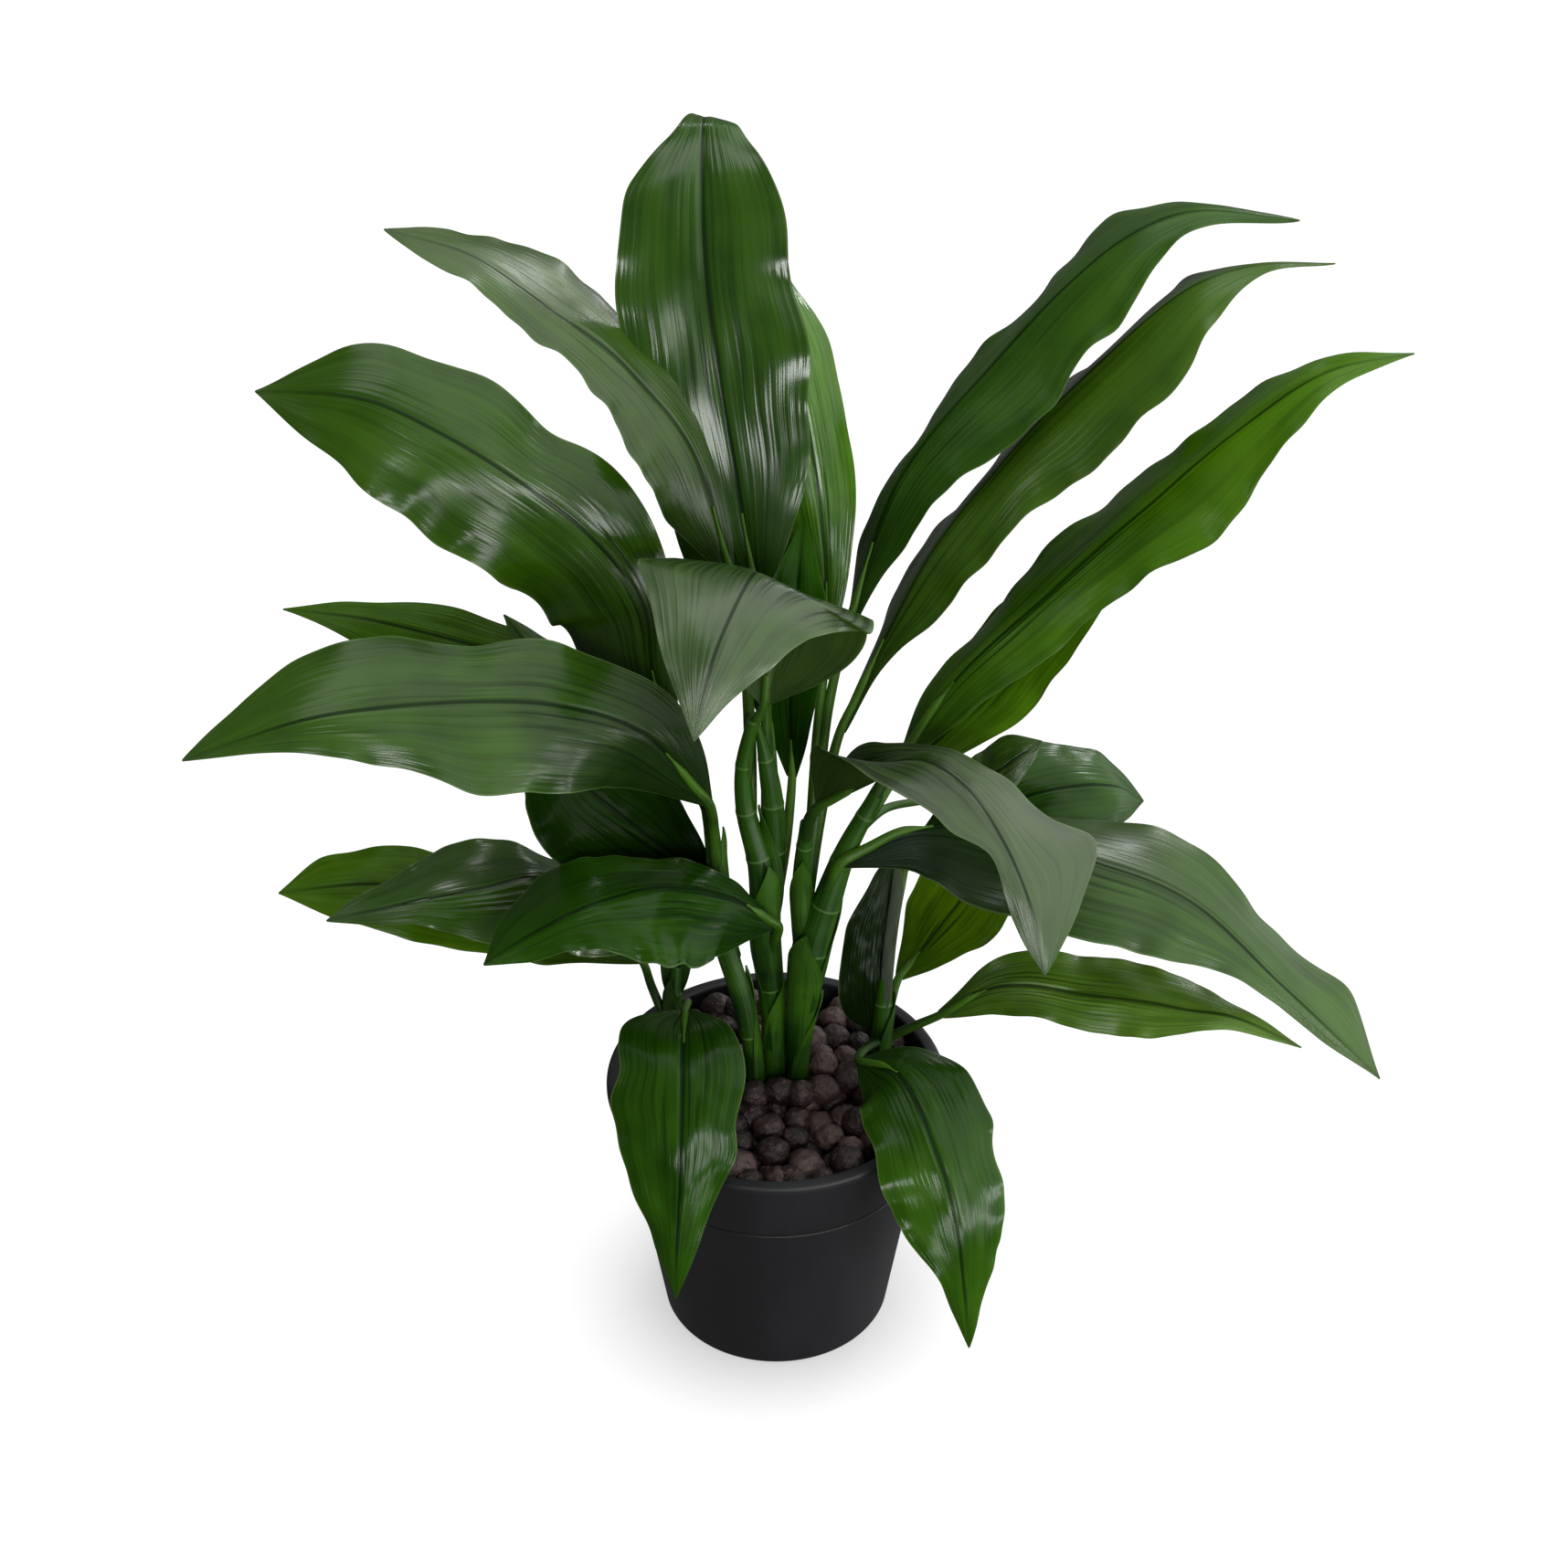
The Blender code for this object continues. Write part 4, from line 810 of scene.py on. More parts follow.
def blade_parts(leaf):
    """A blade: folded and curled, waved along its edges, with a groove above and a keel below."""
    places = np.linspace(0, 1, BLADE_ROWS + 1)
    middle, side, normal, (left, right) = blade_frame(leaf, places)
    fold = np.radians(even_spline(leaf["fold"], places))
    height, count, phase = leaf["wave"]
    places = places[:, None]
    across = across_places()
    beat = phase + np.where(across < 0, WAVE_OFFBEAT, 0.0)
    calm_ends = np.sin(np.pi * places) ** 0.5
    play = 1 + WIDTH_PLAY * np.sin(2 * np.pi * (WIDTH_PLAY_TURNS * count * places + beat))
    half_width = np.where(across < 0, left, right) * play
    spread = np.clip(half_width / FULL_RELIEF_HALF_WIDTH, 0, 1)
    wave = height * calm_ends * np.sin(2 * np.pi * (count * places + beat)) * across**2
    wave = wave + calm_ends * spread * rippled(places, count, beat) * across**4
    lift = half_width * (np.abs(across) * np.sin(fold) - BLADE_CURL * across**2) + wave
    pleat = PLEAT_HEIGHT * spread * np.cos(2 * np.pi * PLEATS * across) * (1 - across**2)
    pleat = pleat + cockled(across, places, phase) * spread * calm_ends
    reach = half_width * across * np.cos(fold)
    at_midrib = np.exp(-(reach / GROOVE_WIDTH)**2)
    groove = -GROOVE_DEPTH * at_midrib * (1 - GROOVE_LOSS * places)
    keel = KEEL_HEIGHT * at_midrib * (1 - KEEL_LOSS * places)
    thickness = BLADE_THICKNESS / 2 * (1 - EDGE_THINNING * across**6)
    surface = middle[:, None] + side * reach[..., None] + normal * (lift + pleat)[..., None]
    upper = surface + normal * (thickness + groove)[..., None]
    under = surface - normal * (thickness + keel)[..., None]
    return closed_sheet(upper, under, (across + 1) / 2, half_width * across, travelled_along(middle))


def stalk_parts(leaf):
    """A leaf's stalk, which runs on a little way under the blade."""
    blade = smooth_curve(leaf["blade"], RUN_ON_SAMPLES)
    path = smooth_curve([*leaf["stalk"], *blade[RUN_ON_TAKEN]], STALK_RINGS)
    along = np.linspace(0, 1, STALK_RINGS)
    radii = leaf["thick"] + (STALK_END_RADIUS - leaf["thick"]) * along
    radii *= np.clip((1 - along) * STALK_TAPER, STALK_THINNEST, 1)
    return tube(path, radii, STALK_SIDES, 2)


def cane_path(points, radii):
    """Middle line and radii of a cane; one that roots starts down in the growing medium."""
    if points[0][2] < ROOTED_BELOW:
        points = [(points[0][0], points[0][1], MEDIUM_TOP / MM + CANE_FOOT_GAP), *points]
        radii = [radii[0], *radii]
    path = smooth_curve(points, CANE_RINGS)
    return path, even_spline(radii, np.linspace(0, 1, CANE_RINGS))[:, 0]


def sheath_parts(path, radius, sheath):
    """The foot of an old leaf that wraps a cane: open along one side, its top drawn to a point."""
    start, end, turn, wrap, lean = sheath
    rows = np.linspace(start, end, SHEATH_ROWS) * (len(path) - 1)
    places = np.linspace(0, 1, SHEATH_ROWS)
    middle = np.stack([np.interp(rows, np.arange(len(path)), path[:, k]) for k in range(3)], axis=1)
    thick = np.interp(rows, np.arange(len(path)), radius)
    side, up = frames_along(middle)
    outward = math.cos(math.radians(turn)) * side + math.sin(math.radians(turn)) * up
    leaning = middle + outward * (lean * places**2)[:, None]
    half_turn = math.radians(wrap) * (1 - places**SHEATH_POINT) + SHEATH_TIP_TURN
    across = np.linspace(-1, 1, SHEATH_COLUMNS)
    angle = math.radians(turn) - half_turn[:, None] * across
    spokes = np.cos(angle)[..., None] * side[:, None] + np.sin(angle)[..., None] * up[:, None]
    inside = thick[:, None] + SHEATH_CLEARANCE + SHEATH_FLARE * across**4
    inner = leaning[:, None] + spokes * inside[..., None]
    outer = inner + spokes * SHEATH_THICKNESS
    places_across = (across + 1) / 2
    travelled = places * travelled_along(middle)[-1]
    return closed_sheet(outer, inner, places_across, places_across * SHEATH_PATTERN_WIDTH, travelled, 1)


def cane_object(name, shoot, materials):
    """The canes of a shoot, slightly swollen at the nodes, with the sheaths around them."""
    pieces = []
    paths = []
    for points, radii in shoot["canes"]:
        path, radius = cane_path(points, radii)
        paths.append((path, radius))
        ring = np.maximum(0, np.cos(2 * np.pi * travelled_along(path) / NODE_SPACING))
        swollen = radius * (1 + NODE_SWELLING * ring**NODE_SHARPNESS)
        pieces.append(tube(path, swollen, CANE_SIDES, 0))
    for cane_number, *sheath in shoot["sheaths"]:
        path, radius = paths[cane_number - 1]
        pieces.append(sheath_parts(path, radius, sheath))
    return mesh_object(name, pieces, materials)


# Pot, growing medium and pebbles

def turned(name, profile):
    mesh = bpy.data.meshes.new(name)
    edges = [(i, i + 1) for i in range(len(profile) - 1)]
    mesh.from_pydata([(radius, 0.0, height) for radius, height in profile], edges, [])
    item = new_object(name, mesh)
    screw = item.modifiers.new("turn", "SCREW")
    screw.steps = screw.render_steps = POT_SEGMENTS
    screw.use_merge_vertices = True
    screw.merge_threshold = TURNED_MERGE
    depsgraph = bpy.context.evaluated_depsgraph_get()
    item.data = bpy.data.meshes.new_from_object(item.evaluated_get(depsgraph))
    item.modifiers.clear()
    return item


def inner_radius(height):
    share = height / POT_HEIGHT
    return POT_BASE_RADIUS + (POT_RIM_RADIUS - LIP_WIDTH - BAND_STEP - POT_BASE_RADIUS) * share - POT_WALL


def outer_radius(height):
    return inner_radius(height) + POT_WALL


def wall_run(radius_at, start, end, count, shift=0.0):
    """Profile points up or down a straight stretch of the wall."""
    return [(radius_at(height) + shift, height) for height in np.linspace(start, end, count)]


def arc(centre, radius, start, end, steps=ARC_STEPS):
    """Points on an arc in the profile plane, angles in degrees from the outward direction."""
    angles = np.radians(np.linspace(start, end, steps))
    return [(centre[0] + radius * math.cos(a), centre[1] + radius * math.sin(a)) for a in angles]


def make_pot(material):
    """The pot with a rolled lip, rounded edges and a soft step below its rim band."""
    band_foot = POT_HEIGHT - BAND_HEIGHT
    lip_foot = POT_HEIGHT - LIP_HEIGHT
    r = LIP_ROUNDING
    step = BAND_STEP / 2
    inner_lip = inner_radius(POT_HEIGHT) + r
    profile = [(0.0, POT_FLOOR), (inner_radius(POT_FLOOR), POT_FLOOR)]
    profile += wall_run(inner_radius, INNER_WALL_START, POT_HEIGHT - EDGE_GAP, WALL_POINTS)
    profile += arc((inner_lip, POT_HEIGHT - r), r, 180, 90)
    profile += arc((POT_RIM_RADIUS - r, POT_HEIGHT - r), r, 90, 0)
    profile += arc((POT_RIM_RADIUS - r / 2, lip_foot + r / 2), r / 2, 0, -90)
    profile += [(outer_radius(lip_foot) + BAND_STEP, lip_foot - LIP_TUCK)]
    profile += wall_run(outer_radius, lip_foot - EDGE_GAP, band_foot + EDGE_GAP, BAND_POINTS, BAND_STEP)
    band = outer_radius(band_foot) + BAND_STEP
    profile += arc((band, band_foot + 3 * BAND_BEAD), BAND_BEAD, 90, -90, BEAD_STEPS)
    profile += arc((band - step, band_foot + step), step, 0, -90)
    profile += [(outer_radius(band_foot), band_foot - BAND_TUCK)]
    profile += wall_run(outer_radius, band_foot - EDGE_GAP, POT_BASE_ROUNDING + EDGE_GAP, WALL_POINTS)
    foot = outer_radius(POT_BASE_ROUNDING)
    profile += arc((foot - POT_BASE_ROUNDING, POT_BASE_ROUNDING), POT_BASE_ROUNDING, 0, -90)
    profile += [(0.0, 0.0)]
    pot = turned("nursery_pot", profile)
    pot.data.materials.append(material)
    smooth(pot.data, POT_SMOOTH_ANGLE)
    return pot


def spiral_place(index, count, reach, turn):
    """Place of one pebble on a spiral that covers a disc evenly."""
    distance = reach * math.sqrt((index + 0.5) / count)
    return distance * math.cos(turn), distance * math.sin(turn)


def pebble_layout():
    """Centres and radii of the clay pebbles, as in the CAD."""
    draw = random.Random(PEBBLE_SEED)
    pebbles = []
    for index in range(PEBBLE_COUNT):
        turn = index * GOLDEN_ANGLE + draw.uniform(-PEBBLE_TURN_PLAY, PEBBLE_TURN_PLAY)
        x, y = spiral_place(index, PEBBLE_COUNT, PEBBLE_REACH, turn)
        radius = draw.uniform(PEBBLE_RADIUS_SMALL, PEBBLE_RADIUS_LARGE)
        z = PEBBLE_BED_TOP + BED_TILT * y + draw.uniform(PEBBLE_LOWEST, PEBBLE_HIGHEST)
        pebbles.append((x, y, z, radius))
    return pebbles


def lower_pebbles():
    """A second layer that shows between the pebbles of the first."""
    draw = random.Random(PEBBLE_SEED + 1)
    pebbles = []
    for index in range(LOWER_PEBBLE_COUNT):
        turn = index * GOLDEN_ANGLE + LOWER_PEBBLE_TURN
        x, y = spiral_place(index, LOWER_PEBBLE_COUNT, LOWER_PEBBLE_REACH, turn)
        pebbles.append((x, y, PEBBLE_BED_TOP - LOWER_PEBBLE_DROP, draw.uniform(*LOWER_PEBBLE_RADII)))
    return pebbles


def inside_the_wall(pebble):
    """Moves a pebble in until it lies inside the pot's wall."""
    x, y, z, radius = pebble
    reach = math.hypot(x, y)
    limit = inner_radius(z - radius / 2) - radius - WALL_CLEARANCE
    inward = min(1.0, limit / reach)
    return x * inward, y * inward, z, radius


def clear_of_roots(x, y, radius):
    for shoot in SHOOTS.values():
        root_x, root_y, root_radius = (value * MM for value in shoot["root"])
        if math.hypot(x - root_x, y - root_y) < root_radius + PEBBLE_ROOT_GAP * radius:
            return False
    return True


def pebble_mesh(pebble, draw, detail):
    """A rough fired clay ball: lumps, a few flats and small pits."""
    x, y, z, radius = pebble
    shape = bmesh.new()
    bmesh.ops.create_icosphere(shape, subdivisions=detail, radius=1.0)
    seed = Vector([draw.uniform(0, PEBBLE_SEED_SPREAD) for _ in range(3)])
    squash = Vector([draw.uniform(*span) for span in PEBBLE_SQUASH])
    for vertex in shape.verts:
        place = vertex.co.copy()
        lumps = sum(size * noise.noise(place * turns + seed) for size, turns in PEBBLE_LUMPS)
        pits = max(0.0, noise.noise(place * PIT_TURNS + seed) - PIT_LEVEL) * PIT_DEPTH
        vertex.co = place * squash * (radius * (1 + lumps - pits))
        vertex.co += Vector((x, y, z))
    shape.verts.index_update()
    return shape


def make_pebbles(material):
    """Single clay pebbles: the CAD's layer, a few heaped on it, and ones below in the gaps, coloured
    darkest as painted shade.
    """
    draw = random.Random(PEBBLE_SEED)
    points, faces, tones = [], [], []
    layers = [(pebble, PEBBLE_DETAIL) for pebble in pebble_layout() + HEAPED_PEBBLES]
    layers += [(pebble, LOWER_PEBBLE_DETAIL) for pebble in lower_pebbles()]
    for pebble, detail in layers:
        pebble = inside_the_wall(pebble)
        if not clear_of_roots(pebble[0], pebble[1], pebble[3]):
            continue
        shape = pebble_mesh(pebble, draw, detail)
        shift = len(points)
        points += [vertex.co.copy() for vertex in shape.verts]
        faces += [[vertex.index + shift for vertex in face.verts] for face in shape.faces]
        shape.free()
        shade = draw.random()
        # Lower pebbles are coloured darkest: painted shade in the gaps between the pebbles above
        if detail == LOWER_PEBBLE_DETAIL:
            shade = LOWER_PEBBLE_SHADE
        tones += [shade] * (len(points) - shift)
    mesh = bpy.data.meshes.new("loose_clay_pebbles")
    mesh.from_pydata(points, [], faces)
    mesh.attributes.new("tone", "FLOAT", "POINT").data.foreach_set("value", tones)
    mesh.materials.append(material)
    mesh.shade_smooth()
    return new_object("loose_clay_pebbles", mesh)


# Materials

class Nodes:
    """Short calls for building one node tree around its shader."""

    def __init__(self, tree, shader_name="Principled BSDF"):
        self.tree = tree
        self.shader = tree.nodes[shader_name]

    def feed(self, value, socket):
        """Links an output to a socket, or sets the socket to a number, vector or colour."""
        if isinstance(value, bpy.types.NodeSocket):
            self.tree.links.new(value, socket)
        elif socket.type == "RGBA":
            socket.default_value = (*value, 1.0)
        else:
            socket.default_value = value

    def shade(self, name, value):
        self.feed(value, self.shader.inputs[name])

    def node(self, kind, inputs=None, **settings):
        made = self.tree.nodes.new(kind)
        for name, value in settings.items():
            setattr(made, name, value)
        for key, value in (inputs or {}).items():
            self.feed(value, made.inputs[key])
        return made

    def maths(self, operation, *values):
        return self.node("ShaderNodeMath", dict(enumerate(values)), operation=operation).outputs[0]

    def times(self, first, second, more=0.0):
        """first * second + more"""
        return self.maths("MULTIPLY_ADD", first, second, more)

    def ramp(self, value, low, high, start=0.0, end=1.0):
        inputs = {"Value": value, "From Min": low, "From Max": high, "To Min": start, "To Max": end}
        return self.node("ShaderNodeMapRange", inputs, interpolation_type="SMOOTHSTEP").outputs["Result"]

    def mix(self, share, first, second):
        inputs = dict(zip(COLOUR_MIX_INPUTS, (share, first, second)))
        return self.node("ShaderNodeMix", inputs, data_type="RGBA").outputs[2]

    def noise(self, vector, scale, detail=2.0, roughness=0.5):
        inputs = {"Vector": vector, "Scale": scale, "Detail": detail, "Roughness": roughness}
        return self.node("ShaderNodeTexNoise", inputs).outputs["Fac"]

    def mapped(self, vector, name, value):
        return self.node("ShaderNodeMapping", {"Vector": vector, name: value}).outputs["Vector"]

    def streaks(self, vector, pattern):
        """Noise stretched along a blade or cane: cells across and along, and detail."""
        across, along, detail = pattern
        return self.noise(self.mapped(vector, "Scale", (across, along, 1)), 1.0, detail)

    def object_place(self):
        return self.node("ShaderNodeTexCoord").outputs["Object"]

    def uv(self, name):
        """The UV map as a vector, and its two parts."""
        vector = self.node("ShaderNodeUVMap", uv_map=name).outputs["UV"]
        parts = self.node("ShaderNodeSeparateXYZ", {0: vector}).outputs
        return vector, parts[0], parts[1]

    def bump(self, height, distance, strength):
        made = self.node("ShaderNodeBump", {"Height": height, "Distance": distance, "Strength": strength})
        self.shade("Normal", made.outputs["Normal"])


def new_material(name):
    material = bpy.data.materials.new(name)
    material.use_nodes = True
    return material, Nodes(material.node_tree)


def gained(colour, gains):
    return tuple(value * gain for value, gain in zip(colour, gains))


def leaf_painted_shade(nodes, leaf_look, under, across, along, from_midrib, veins, fine):
    """Painted shade on a leaf: in the grooves, along the midrib's line and in the creases."""
    most_groove, most_line = (UNDER_SHADE_DARKNESS, UNDER_SHADE_DARKNESS) if under else (GROOVE_SHADE_DARKNESS, MIDRIB_SHADE_DARKNESS)
    grooves = nodes.times(nodes.ramp(veins, *GROOVE_SPAN), nodes.ramp(along, *GROOVE_FADE))
    grooves = nodes.times(grooves, nodes.ramp(across, *GROOVE_REACH, 0.0, most_groove))
    reach = nodes.times(fine, -MIDRIB_SHADE_WIDTH, from_midrib)
    line = nodes.ramp(reach, LINE_SOFTNESS * MIDRIB_SHADE_WIDTH, 0.0, 0.0, most_line)
    line = nodes.times(line, nodes.ramp(along, *LINE_FADE))
    dark = nodes.maths("MAXIMUM", grooves, line)
    if leaf_look["creases"] and not under:
        middle, half = leaf_look["creases"]
        span = nodes.maths("ABSOLUTE", nodes.maths("SUBTRACT", along, middle))
        near = nodes.ramp(span, half, CREASE_CORE * half, 0.0, CREASE_SHADE_DARKNESS)
        creases = nodes.times(near, nodes.ramp(veins, *CREASE_SPAN))
        dark = nodes.maths("MAXIMUM", dark, creases)
    return dark


def leaf_greens(nodes, tone, under, across, along, patterns, mottle):
    """Deep to light green in bands, with pale lines along the veins."""
    veins, _, bands, drift = patterns
    share = nodes.times(bands, BANDS_SHARE, nodes.times(mottle, MOTTLE_SHARE))
    share = nodes.times(veins, VEINS_SHARE, share)
    share = nodes.times(along, TIP_SHARE, share)
    deep, light = (gained(green, tone) for green in (UNDER_GREENS if under else UPPER_GREENS))
    colour = nodes.mix(nodes.ramp(share, *GREEN_SPAN), deep, light)
    lines = nodes.maths("PINGPONG", nodes.times(across, VEIN_LINES, drift), 0.5)
    lines = nodes.ramp(lines, *VEIN_LINE_SPAN, 0.0, UNDER_VEIN_PALENESS if under else VEIN_PALENESS)
    pale = nodes.times(lines, nodes.ramp(mottle, *VEIN_BREAKS))
    return nodes.mix(pale, colour, gained(VEIN_PALE, tone))


def leaf_material(name, leaf_look, seed, under=False):
    """A leaf's surface: pale veins, painted shade in the grooves, along a thin midrib line and at the foot,
    a painted sheen on the right half of some, and a pale edge.
    """
    material, nodes = new_material(name)
    uv, place_across, along = nodes.uv("leaf")
    across = nodes.maths("ABSOLUTE", nodes.times(place_across, 2.0, -1.0))
    from_midrib = nodes.maths("ABSOLUTE", nodes.uv("real")[1])
    shifted = nodes.mapped(uv, "Location", (seed * SEED_SHIFT[0], seed * SEED_SHIFT[1], 0))
    patterns = [nodes.streaks(shifted, pattern) for pattern in (VEINS, FINE_VEINS, BANDS, VEIN_DRIFT)]
    veins, fine, bands, _ = patterns
    mottle = nodes.noise(nodes.object_place(), *MOTTLE)
    colour = leaf_greens(nodes, leaf_look["tone"], under, across, along, patterns, mottle)
    dark = leaf_painted_shade(nodes, leaf_look, under, across, along, from_midrib, veins, fine)
    # The grooves, the midrib line and the creases take a near-black green: painted shade
    colour = nodes.mix(dark, colour, PAINTED_SHADE_GREEN)
    # Painted shade at the foot of the blade: its colour darkens towards a near-black green
    foot = nodes.ramp(along, *leaf_look["foot_span"], 1.0 - leaf_look["foot"], 1.0)
    colour = nodes.mix(foot, PAINTED_SHADE_GREEN, colour)
    # Painted sheen: the right half is lightened towards a grey green
    if leaf_look["right_painted_sheen"]:
        right = nodes.ramp(place_across, *RIGHT_HALF_START, 0.0, leaf_look["right_painted_sheen"])
        colour = nodes.mix(right, colour, PAINTED_SHEEN_HALF)
    colour = nodes.mix(nodes.ramp(across, *EDGE_SPAN, 0.0, EDGE_PALENESS), colour, EDGE_GREEN)
    nodes.shade("Base Color", colour)

    rough = UNDER_ROUGHNESS if under else leaf_look["rough"]
    nodes.shade("Roughness", nodes.times(bands, ROUGHNESS_PLAY, rough - ROUGHNESS_PLAY / 2))
    gloss = leaf_look["gloss"] * (UNDER_GLOSS_SHARE if under else 1.0)
    # Gloss is dimmed where shade is painted in the grooves, midrib line and creases
    specular = nodes.times(dark, -SHADE_GLOSS_LOSS * gloss, gloss)
    # The painted shade at the foot dims the gloss as well
    nodes.shade("Specular IOR Level", nodes.times(specular, foot))
    relief = nodes.times(mottle, MOTTLE_RELIEF, nodes.times(fine, FINE_RELIEF, veins))
    nodes.bump(relief, VEIN_RELIEF, VEIN_RELIEF_STRENGTH)
    return material


def stalk_material(name, deep, light, node_rings=0.0):
    """Canes, stalks and sheaths: lengthwise fibres, darker feet and pale rings at the nodes."""
    material, nodes = new_material(name)
    uv, _, along = nodes.uv("leaf")
    travelled = nodes.uv("real")[2]
    fibres = nodes.streaks(uv, FIBRES)
    patches = nodes.noise(nodes.object_place(), *STEM_PATCHES)
    share = nodes.times(patches, PATCH_SHARE, nodes.times(fibres, FIBRE_SHARE))
    share = nodes.times(along, TOP_SHARE, share)
    colour = nodes.mix(nodes.ramp(share, *STEM_SPAN), deep, light)
    phase = nodes.times(travelled, 2 * math.pi / NODE_SPACING)
    ring = nodes.ramp(nodes.maths("COSINE", phase), *RING_SPAN)
    colour = nodes.mix(nodes.times(ring, node_rings), colour, NODE_RING)
    nodes.shade("Base Color", colour)
    nodes.shade("Roughness", nodes.times(fibres, STALK_ROUGHNESS_PLAY, STALK_ROUGHNESS))
    nodes.shade("Specular IOR Level", STEM_GLOSS)
    nodes.bump(fibres, FIBRE_RELIEF, FIBRE_RELIEF_STRENGTH)
    return material


def pot_material():
    """Satin charcoal plastic with a faint moulded grain."""
    material, nodes = new_material("satin_black_plastic")
    place = nodes.object_place()
    grain = nodes.noise(place, POT_GRAIN)
    wear = nodes.noise(nodes.mapped(place, "Scale", POT_WEAR_STRETCH), *POT_WEAR)
    nodes.shade("Base Color", nodes.mix(nodes.ramp(wear, *POT_WEAR_SPAN), *POT_BLACKS))
    nodes.shade("Roughness", nodes.times(wear, *POT_ROUGHNESS))
    nodes.bump(grain, *POT_RELIEF)
    return material


def clay_material():
    """Fired clay: dark red-brown to grey-brown balls with dusty spots and pores."""
    material, nodes = new_material("fired_clay_pebble")
    tone = nodes.node("ShaderNodeAttribute", attribute_name="tone").outputs["Fac"]
    place = nodes.object_place()
    spots = nodes.noise(place, *CLAY_SPOTS)
    dust = nodes.noise(place, CLAY_DUST)
    colour = nodes.mix(nodes.maths("POWER", tone, CLAY_TONE_POWER), *CLAY_BROWNS)
    colour = nodes.mix(nodes.ramp(spots, *CLAY_DUSTY_SPAN), colour, CLAY_DUSTY)
    colour = nodes.mix(nodes.ramp(spots, *CLAY_PORE_SPAN), colour, CLAY_PORE)
    nodes.shade("Base Color", colour)
    nodes.shade("Roughness", nodes.times(spots, *CLAY_ROUGHNESS))
    nodes.bump(nodes.times(dust, CLAY_DUST_RELIEF, spots), *CLAY_RELIEF)
    return material


def medium_material():
    """Dark peat and bark."""
    material, nodes = new_material("peat_and_bark")
    crumbs = nodes.noise(nodes.object_place(), *PEAT_CRUMBS)
    nodes.shade("Base Color", nodes.mix(nodes.ramp(crumbs, *PEAT_SPAN), *PEAT_BROWNS))
    nodes.shade("Roughness", PEAT_ROUGHNESS)
    nodes.bump(crumbs, *PEAT_RELIEF)
    return material


def floor_material():
    """A floor that glows almost white, with a soft painted contact shadow where the pot stands on it."""
    material, nodes = new_material("pale_floor")
    nodes.shade("Base Color", FLOOR_COLOUR)
    nodes.shade("Roughness", FLOOR_ROUGHNESS)
    nodes.shade("Emission Color", WHITE)
    openness = nodes.node("ShaderNodeAmbientOcclusion", {"Distance": CONTACT_SHADOW_REACH}).outputs["AO"]
    # The glow dims where the pot closes the floor in: painted contact shadow
    nodes.shade("Emission Strength", nodes.ramp(openness, *CONTACT_SHADOW_SPAN, CONTACT_SHADOW_GLOW, FLOOR_GLOW))
    return material


# Stage, light and camera

def make_floor():
    bpy.ops.mesh.primitive_plane_add(size=FLOOR_SIZE, location=(0, 0, 0))
    floor = bpy.context.object
    floor.name = "floor"
    floor.data.materials.append(floor_material())
    floor.visible_glossy = False
    floor.visible_diffuse = False


def direction(azimuth, elevation):
    """Unit vector from angles in degrees: azimuth from +Y towards +X, elevation up."""
    turn, rise = math.radians(azimuth), math.radians(elevation)
    return Vector((math.sin(turn) * math.cos(rise), math.cos(turn) * math.cos(rise), math.sin(rise)))


def lamp(name, azimuth, elevation, distance, width, height, radiance, glossy):
    """A rectangular light that faces the plant, set by its brightness; glossy ones show in reflections."""
    light = bpy.data.lights.new(name, "AREA")
    light.shape = "RECTANGLE"
    light.size = width
    light.size_y = height
    light.energy = radiance * math.pi * width * height
    item = new_object(name, light)
    item.location = Vector(LIGHT_AIM) + distance * direction(azimuth, elevation)
    item.rotation_euler = (-direction(azimuth, elevation)).to_track_quat("-Z", "Y").to_euler()
    item.visible_camera = False
    item.visible_glossy = glossy


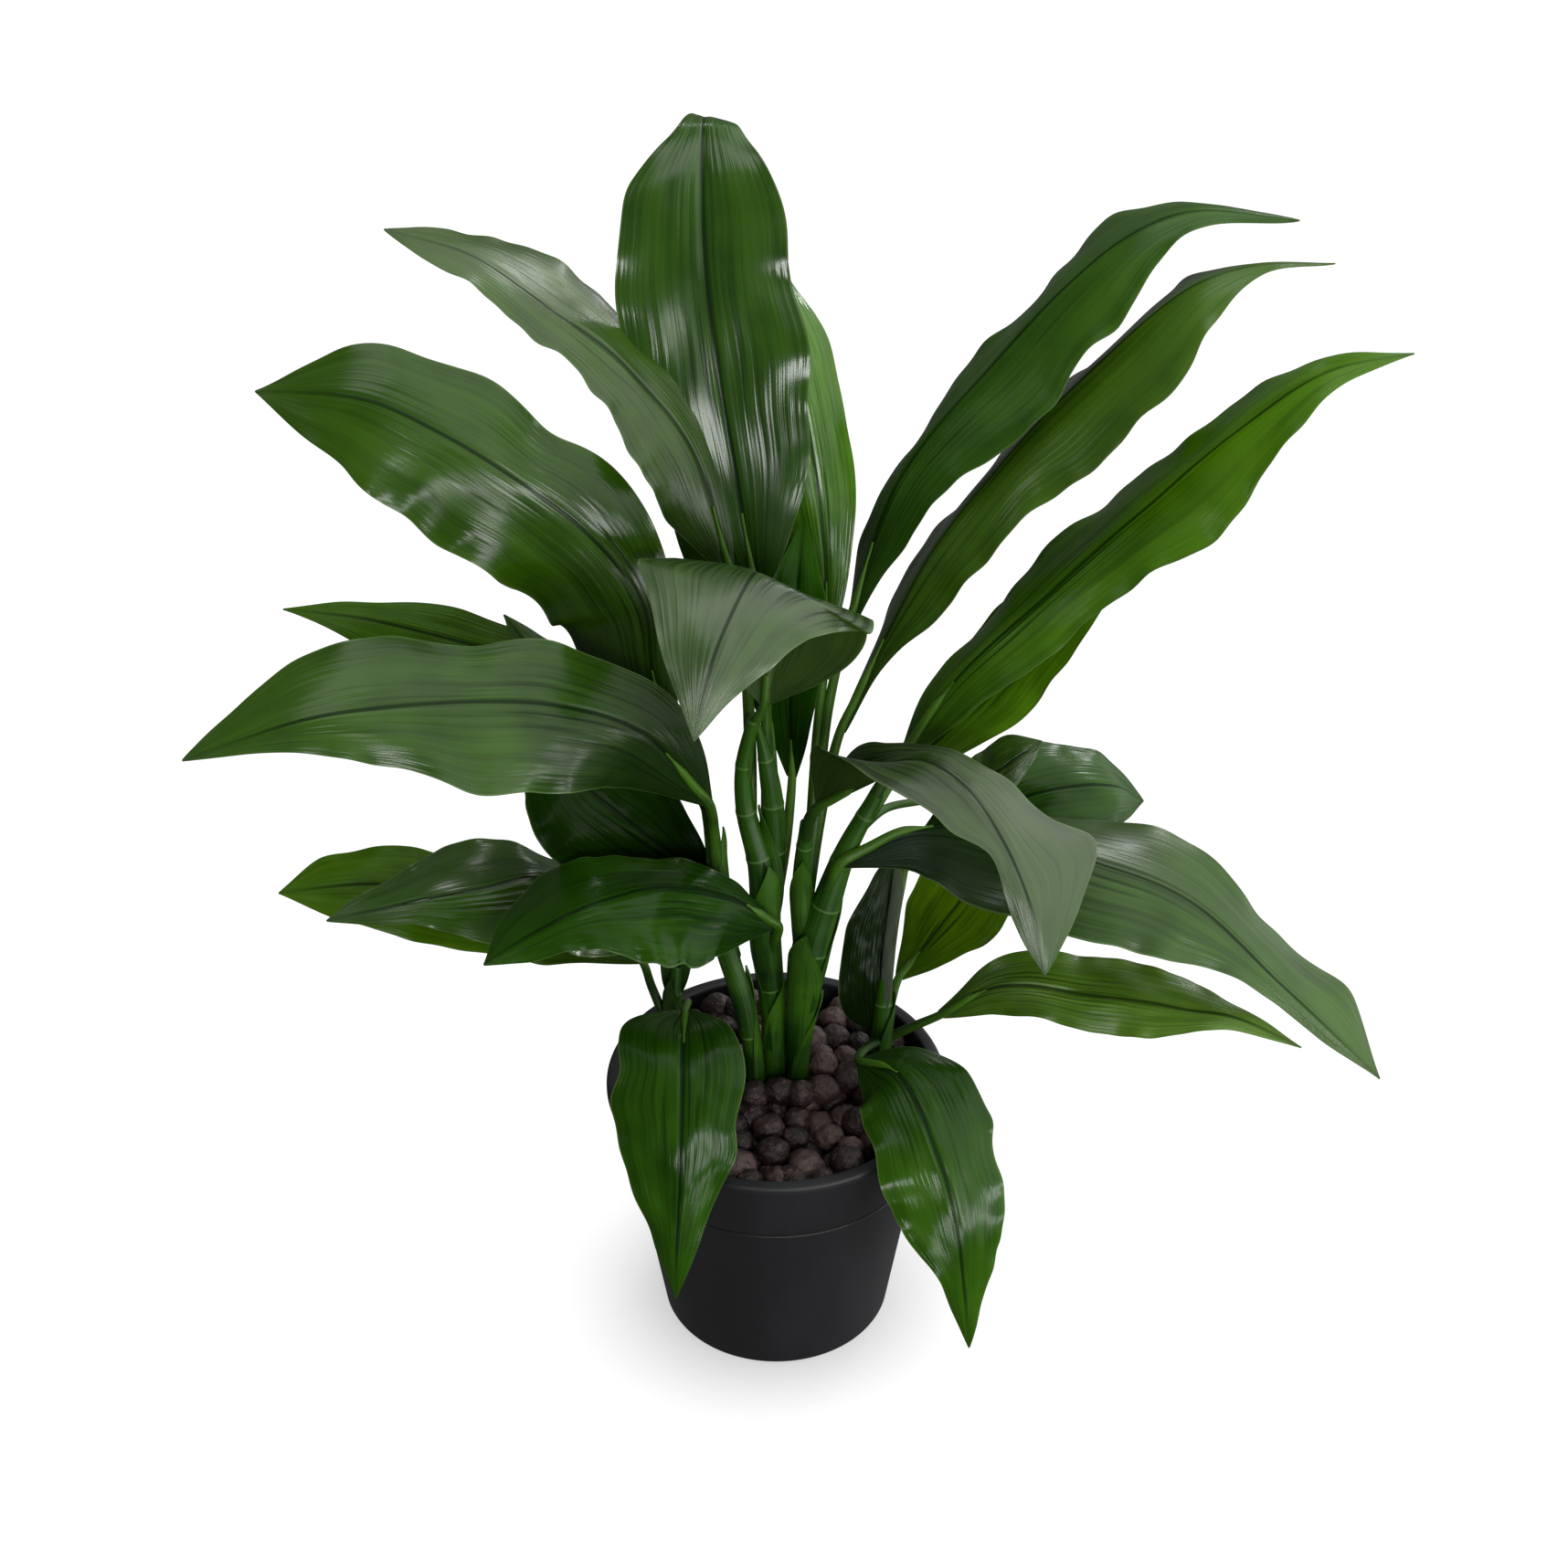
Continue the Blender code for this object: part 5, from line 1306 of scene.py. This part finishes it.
def make_world():
    """A dim room with one bright side at the back right and a bright ceiling."""
    world = bpy.data.worlds.new("studio")
    world.use_nodes = True
    nodes = Nodes(world.node_tree, "Background")
    view = nodes.node("ShaderNodeTexCoord").outputs["Generated"]
    glows = []
    for towards, spread in ((direction(*BRIGHT_SIDE), BRIGHT_SIDE_SPREAD), ((0, 0, 1), CEILING_SPREAD)):
        aligned = nodes.node("ShaderNodeVectorMath", {0: view, 1: towards}, operation="DOT_PRODUCT")
        low, high, strength = spread
        glows.append(nodes.ramp(aligned.outputs["Value"], low, high, 0.0, strength))
    nodes.shade("Color", WHITE)
    nodes.shade("Strength", nodes.maths("ADD", nodes.maths("MAXIMUM", *glows), ROOM_GLOW))
    bpy.context.scene.world = world


def make_camera():
    camera = bpy.data.cameras.new("camera")
    camera.lens = CAMERA_LENS
    camera.sensor_width = SENSOR_WIDTH
    item = new_object("camera", camera)
    item.location = CAMERA_PLACE
    item.rotation_euler = (CAMERA_TILT, 0, 0)
    bpy.context.scene.camera = item


def make_foliage():
    for shoot_name, shoot in SHOOTS.items():
        cane = stalk_material(f"{shoot_name}_cane", *CANE_GREENS, NODE_RING_STRENGTH)
        stalk = stalk_material(f"{shoot_name}_stalk", *STALK_GREENS)
        sheath = stalk_material(f"{shoot_name}_sheath", *SHEATH_GREENS)
        pieces = [cane_object(f"{shoot_name}_canes", shoot, (cane, sheath, stalk))]
        for number, leaf_table in enumerate(shoot["leaves"], 1):
            leaf_look = LEAF_LOOKS[shoot_name].get(number, PLAIN_LOOK)
            upper = leaf_material(f"{shoot_name}_upper_{number}", leaf_look, number)
            under = leaf_material(f"{shoot_name}_under_{number}", leaf_look, number, under=True)
            parts = [blade_parts(leaf_table), stalk_parts(leaf_table)]
            pieces.append(mesh_object(f"{shoot_name}_leaf_{number}", parts, (upper, under, stalk)))
        for piece in pieces:
            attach(piece, "root")
            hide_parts(shoot_name)


def main():
    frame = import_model()
    bpy.context.scene.view_settings.view_transform = "Standard"
    pot = make_pot(pot_material())
    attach(pot, "root")
    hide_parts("pot")
    pebbles = make_pebbles(clay_material())
    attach(pebbles, "root")
    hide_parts("clay_pebbles")
    medium = frame["nodes"]["growing_medium"]
    medium.data.materials.clear()
    medium.data.materials.append(medium_material())
    make_foliage()
    make_floor()
    make_world()
    for row in LAMPS:
        lamp(*row)
    make_camera()


main()
